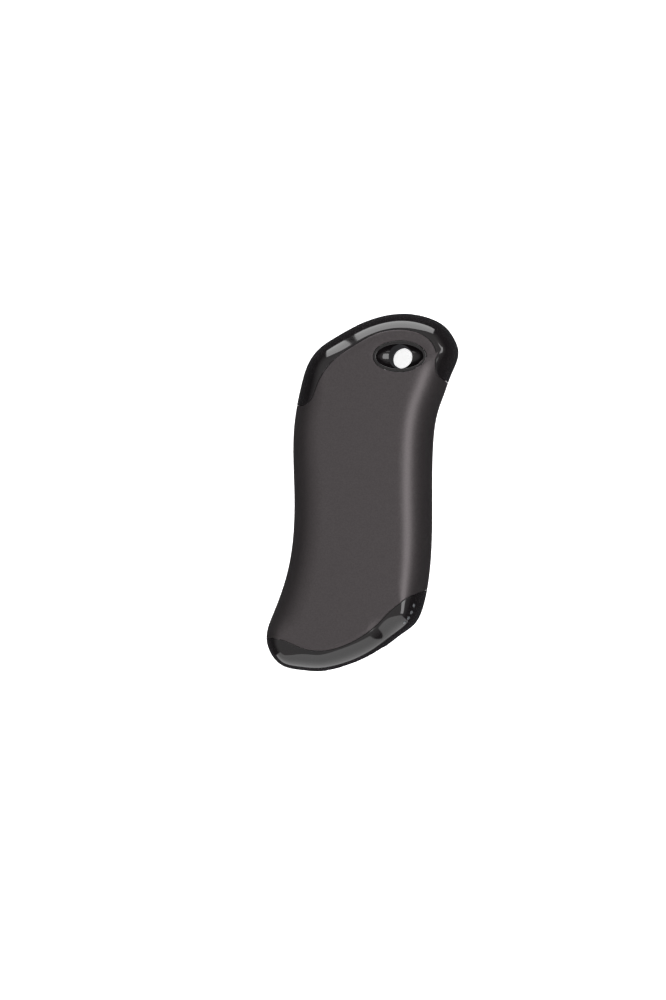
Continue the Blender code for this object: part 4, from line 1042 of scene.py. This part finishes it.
class WARMER_OT_eyelets(bpy.types.Operator):
    """Lay the oval bezels with their bowls over the eyelets"""

    bl_idname = "warmer.eyelets"
    bl_label = "Lanyard eyelets"

    def execute(self, context):
        sizes = context.scene.warmer_sizes
        body = Body(sizes)
        angles = 2 * math.pi * np.arange(OVAL_COLUMNS) / OVAL_COLUMNS
        around = np.stack([np.cos(angles), np.sin(angles)], axis=1)
        top = body.height
        outer = oval_radius(angles, EYELET_LONG / 2, EYELET_SHORT / 2)
        inner = oval_radius(
            angles, EYELET_LONG / 2 - sizes.eyelet_rim, EYELET_SHORT / 2 - sizes.eyelet_rim
        )
        step_in = oval_radius(
            angles, EYELET_LONG / 2 - EYELET_STEP, EYELET_SHORT / 2 - EYELET_STEP
        )
        sleeve = np.full(OVAL_COLUMNS, BORE / 2 + SLEEVE_WALL)
        mouth = EYELET_SHORT / 2 - sizes.eyelet_rim
        slope = (mouth - BORE / 2) / top
        depth = np.zeros(OVAL_COLUMNS)
        for _ in range(20):
            narrow = np.minimum(mouth - slope * depth, inner)
            depth = BOWL_DEPTH * np.sqrt(1 - (narrow / inner) ** 2)
        swing = np.arcsin(depth / BOWL_DEPTH)
        profile = [(sleeve, SEAM), (sleeve, top - EYELET_BODY_DEPTH)]
        profile += [(step_in, top - EYELET_BODY_DEPTH), (step_in, top - EYELET_FLANGE)]
        profile += [(outer, top - EYELET_FLANGE)]
        for row in range(RIM_ROWS + 1):
            share = row / RIM_ROWS
            fall = sizes.rim_crown * abs(2 * share - 1) ** 3
            profile.append((outer + (inner - outer) * (3 * share**2 - 2 * share**3), top - fall))
        for row in range(1, BOWL_ROWS + 1):
            turn = swing * row / BOWL_ROWS
            fall = sizes.rim_crown * (1 - row / BOWL_ROWS)
            profile.append((inner * np.cos(turn), top - BOWL_DEPTH * np.sin(turn) - fall))
        for row in range(1, INNER_ROWS + 1):
            share = row / INNER_ROWS
            height = (top - depth) * (1 - share) + SEAM * share
            radius = np.minimum(BORE / 2 + slope * height, inner)
            profile.append((radius, height))
        for side, face in SIDES:
            rows = []
            for radius, height in profile:
                height = np.broadcast_to(height, (OVAL_COLUMNS,))
                rows.append(np.column_stack([around * radius[:, None], body.height + side * height]))
            rows.append(rows[0])
            name = f"{face}_lanyard_bezel"
            mesh = mesh_of_rows(name, rows, capped=False)
            mesh.transform(eyelet_matrix(body))
            made = new_object(name, mesh)
            seat(made, polished_black_abs(), stands_for=[f"{face}_eyelet"])
        return {"FINISHED"}


class WARMER_OT_button(bpy.types.Operator):
    """Form the power button from the body's own surface"""

    bl_idname = "warmer.button"
    bl_label = "Power button"

    def execute(self, context):
        sizes = context.scene.warmer_sizes
        body = Body(sizes)
        turns = np.arange(OUTLINE_POINTS) / OUTLINE_POINTS
        rows = []
        for angle in np.linspace(-math.pi / 2, math.pi / 2, 2 * ROUNDING_ROWS + 1):
            rows.append(body.surface(turns, np.full(OUTLINE_POINTS, angle), 0.0, 1))
        made = new_object("moulded_power_button", mesh_of_rows("moulded_power_button", rows))
        carrier = body.carrier(BUTTON_SHARE)
        stem = box(
            "stem", (BUTTON_LENGTH, 2 * BUTTON_DEPTH, BUTTON_HEIGHT), carrier, BUTTON_CORNER
        )
        made = cut(made, [stem], "INTERSECT")
        flange = box(
            "flange",
            (
                BUTTON_LENGTH + 2 * BUTTON_FLANGE, BUTTON_FLANGE_DEPTH,
                BUTTON_HEIGHT + 2 * BUTTON_FLANGE,
            ),
            carrier @ Matrix.Translation((0.0, BUTTON_DEPTH - BUTTON_FLANGE_DEPTH / 2, 0.0)),
            BUTTON_CORNER,
        )
        made = cut(made, [flange], "UNION")
        seat(made, polished_black_abs(), body="button", stands_for=["power_button"])
        return {"FINISHED"}


class WARMER_OT_lights(bpy.types.Operator):
    """Set a domed lens on each pin of the light guide"""

    bl_idname = "warmer.lights"
    bl_label = "Light lenses"

    def execute(self, context):
        sizes = context.scene.warmer_sizes
        body = Body(sizes)
        lenses = []
        swings = np.linspace(0.0, math.pi / 2, EDGE_ROWS + 3, endpoint=False)
        for matrix in light_matrices(body):
            profile = [(LIGHT_RADIUS, -LIGHT_PIN / 4)]
            for swing in swings:
                profile.append((LIGHT_RADIUS * math.cos(swing), sizes.lens_rise * math.sin(swing)))
            lenses.append(turned("lens", profile, matrix))
        made = joined("light_lenses", lenses)
        seat(made, milky_polycarbonate())
        return {"FINISHED"}


class WARMER_OT_contacts(bpy.types.Operator):
    """Lay the plated contacts on the sockets' tongues"""

    bl_idname = "warmer.contacts"
    bl_label = "Socket contacts"

    def execute(self, context):
        body = Body(context.scene.warmer_sizes)
        carrier = body.carrier(PORT_SHARE)
        strips = []
        for across, height, offsets, width, length, start in CONTACTS:
            for offset in offsets:
                place = carrier @ Matrix.Translation((across + offset, PORT_DEPTH + start, height))
                size = (width, length, CONTACT_THICKNESS)
                strips.append(box("contact", size, place, CONTACT_CORNER, CONTACT_STEPS))
        made = joined("socket_contacts", strips)
        seat(made, gold_plate())
        return {"FINISHED"}


class WARMER_OT_inside(bpy.types.Operator):
    """Give every solid that stays the finish of its own material"""

    bl_idname = "warmer.inside"
    bl_label = "Finishes of the solids"

    def execute(self, context):
        finishes = inner_finishes()
        for row in frame["record"]["subparts"]:
            node = frame["nodes"][row["node"]]
            node.data.materials.clear()
            node.data.materials.append(finishes[row["material_slot"]])
        return {"FINISHED"}


def softbox(name, azimuth, tilt, distance, size, power, aim, glossy):
    """A flat soft light, out from the aim at an azimuth from +Y and a tilt from +Z in degrees."""
    azimuth, tilt = math.radians(azimuth), math.radians(tilt)
    lamp = bpy.data.lights.new(name, "AREA")
    lamp.shape = "RECTANGLE"
    lamp.size = size[0]
    lamp.size_y = size[1]
    lamp.energy = power
    made = bpy.data.objects.new(name, lamp)
    out = Vector((
        math.sin(tilt) * math.sin(azimuth), math.sin(tilt) * math.cos(azimuth), math.cos(tilt)
    ))
    made.location = Vector(aim) + out * distance
    made.rotation_euler = out.to_track_quat("Z", "Y").to_euler()
    made.visible_glossy = glossy
    made.visible_camera = False
    bpy.context.scene.collection.objects.link(made)
    return made


class WARMER_OT_stage(bpy.types.Operator):
    """Set the pale floor, the soft studio light and the camera"""

    bl_idname = "warmer.stage"
    bl_label = "Stage"

    def execute(self, context):
        scene = context.scene
        sizes = scene.warmer_sizes
        scene.view_settings.view_transform = "Standard"
        corners = np.array([(-1, -1), (1, -1), (1, 1), (-1, 1)]) * FLOOR_REACH
        floor = prism("floor", corners, -FLOOR_DEPTH, 0.0)
        floor.location.z = -FLOOR_DROP
        white = finish(
            "pale_backdrop_paper", scene.warmer_colours.floor,
            shade(scene.warmer_colours.floor, 0.985), 0.004, 0.00001, (0.8, 0.9),
            Emission_Color=(1.0, 1.0, 1.0, 1.0), Emission_Strength=FLOOR_GLOW,
        )
        floor.data.materials.append(white)
        floor.visible_glossy = False
        floor.visible_shadow = False
        for lamp in LAMPS:
            softbox(*lamp)
        world = bpy.data.worlds.new("studio")
        world.use_nodes = True
        scene.world = world
        tree = world.node_tree
        place = add_node(tree, "ShaderNodeTexCoord")
        axes = add_node(tree, "ShaderNodeSeparateXYZ", links={"Vector": (place, "Generated")})
        ramp = add_node(tree, "ShaderNodeValToRGB", links={"Fac": (axes, "Z")})
        for element, (position, colour) in zip(ramp.color_ramp.elements, SURROUNDINGS):
            element.position = position
            element.color = colour
        back = tree.nodes["Background"]
        tree.links.new(ramp.outputs["Color"], back.inputs["Color"])
        sight = bpy.data.cameras.new("camera")
        sight.lens = CAMERA_LENS
        sight.clip_start = 0.01
        camera = bpy.data.objects.new("camera", sight)
        scene.collection.objects.link(camera)
        right = Vector((
            math.cos(CAMERA_LEAN) * math.cos(CAMERA_YAW), math.sin(CAMERA_LEAN) * math.cos(CAMERA_YAW),
            -math.sin(CAMERA_YAW),
        ))
        up = Vector((-math.sin(CAMERA_LEAN), math.cos(CAMERA_LEAN), 0.0))
        back_way = right.cross(up)
        aim = Vector((*CAMERA_AIM, sizes.thickness / 2))
        place = aim - right * CAMERA_ACROSS - up * CAMERA_UP + back_way * CAMERA_DISTANCE
        turn = Matrix((right, up, back_way)).transposed().to_4x4()
        camera.matrix_world = Matrix.Translation(place) @ turn
        scene.camera = camera
        return {"FINISHED"}


OPERATORS = (
    WARMER_OT_skins, WARMER_OT_housings, WARMER_OT_eyelets, WARMER_OT_button, WARMER_OT_lights,
    WARMER_OT_contacts, WARMER_OT_inside, WARMER_OT_stage,
)


class WARMER_PT_panel(bpy.types.Panel):
    """The pieces of the hand warmer, its sizes and its colours"""

    bl_label = "Hand warmer"
    bl_idname = "WARMER_PT_panel"
    bl_space_type = "VIEW_3D"
    bl_region_type = "UI"
    bl_category = "Hand warmer"

    def draw(self, context):
        for operator in OPERATORS:
            self.layout.operator(operator.bl_idname)
        for group in (context.scene.warmer_sizes, context.scene.warmer_colours):
            for name in group.__annotations__:
                self.layout.prop(group, name)


CLASSES = (WarmerSizes, WarmerColours, *OPERATORS, WARMER_PT_panel)


def register():
    for kind in CLASSES:
        bpy.utils.register_class(kind)
    bpy.types.Scene.warmer_sizes = PointerProperty(type=WarmerSizes)
    bpy.types.Scene.warmer_colours = PointerProperty(type=WarmerColours)


def unregister():
    del bpy.types.Scene.warmer_colours
    del bpy.types.Scene.warmer_sizes
    for kind in reversed(CLASSES):
        bpy.utils.unregister_class(kind)


def main():
    """Makes every piece in order."""
    register()
    for operator in OPERATORS:
        group, name = operator.bl_idname.split(".")
        getattr(getattr(bpy.ops, group), name)()


if __name__ == "__main__":
    main()
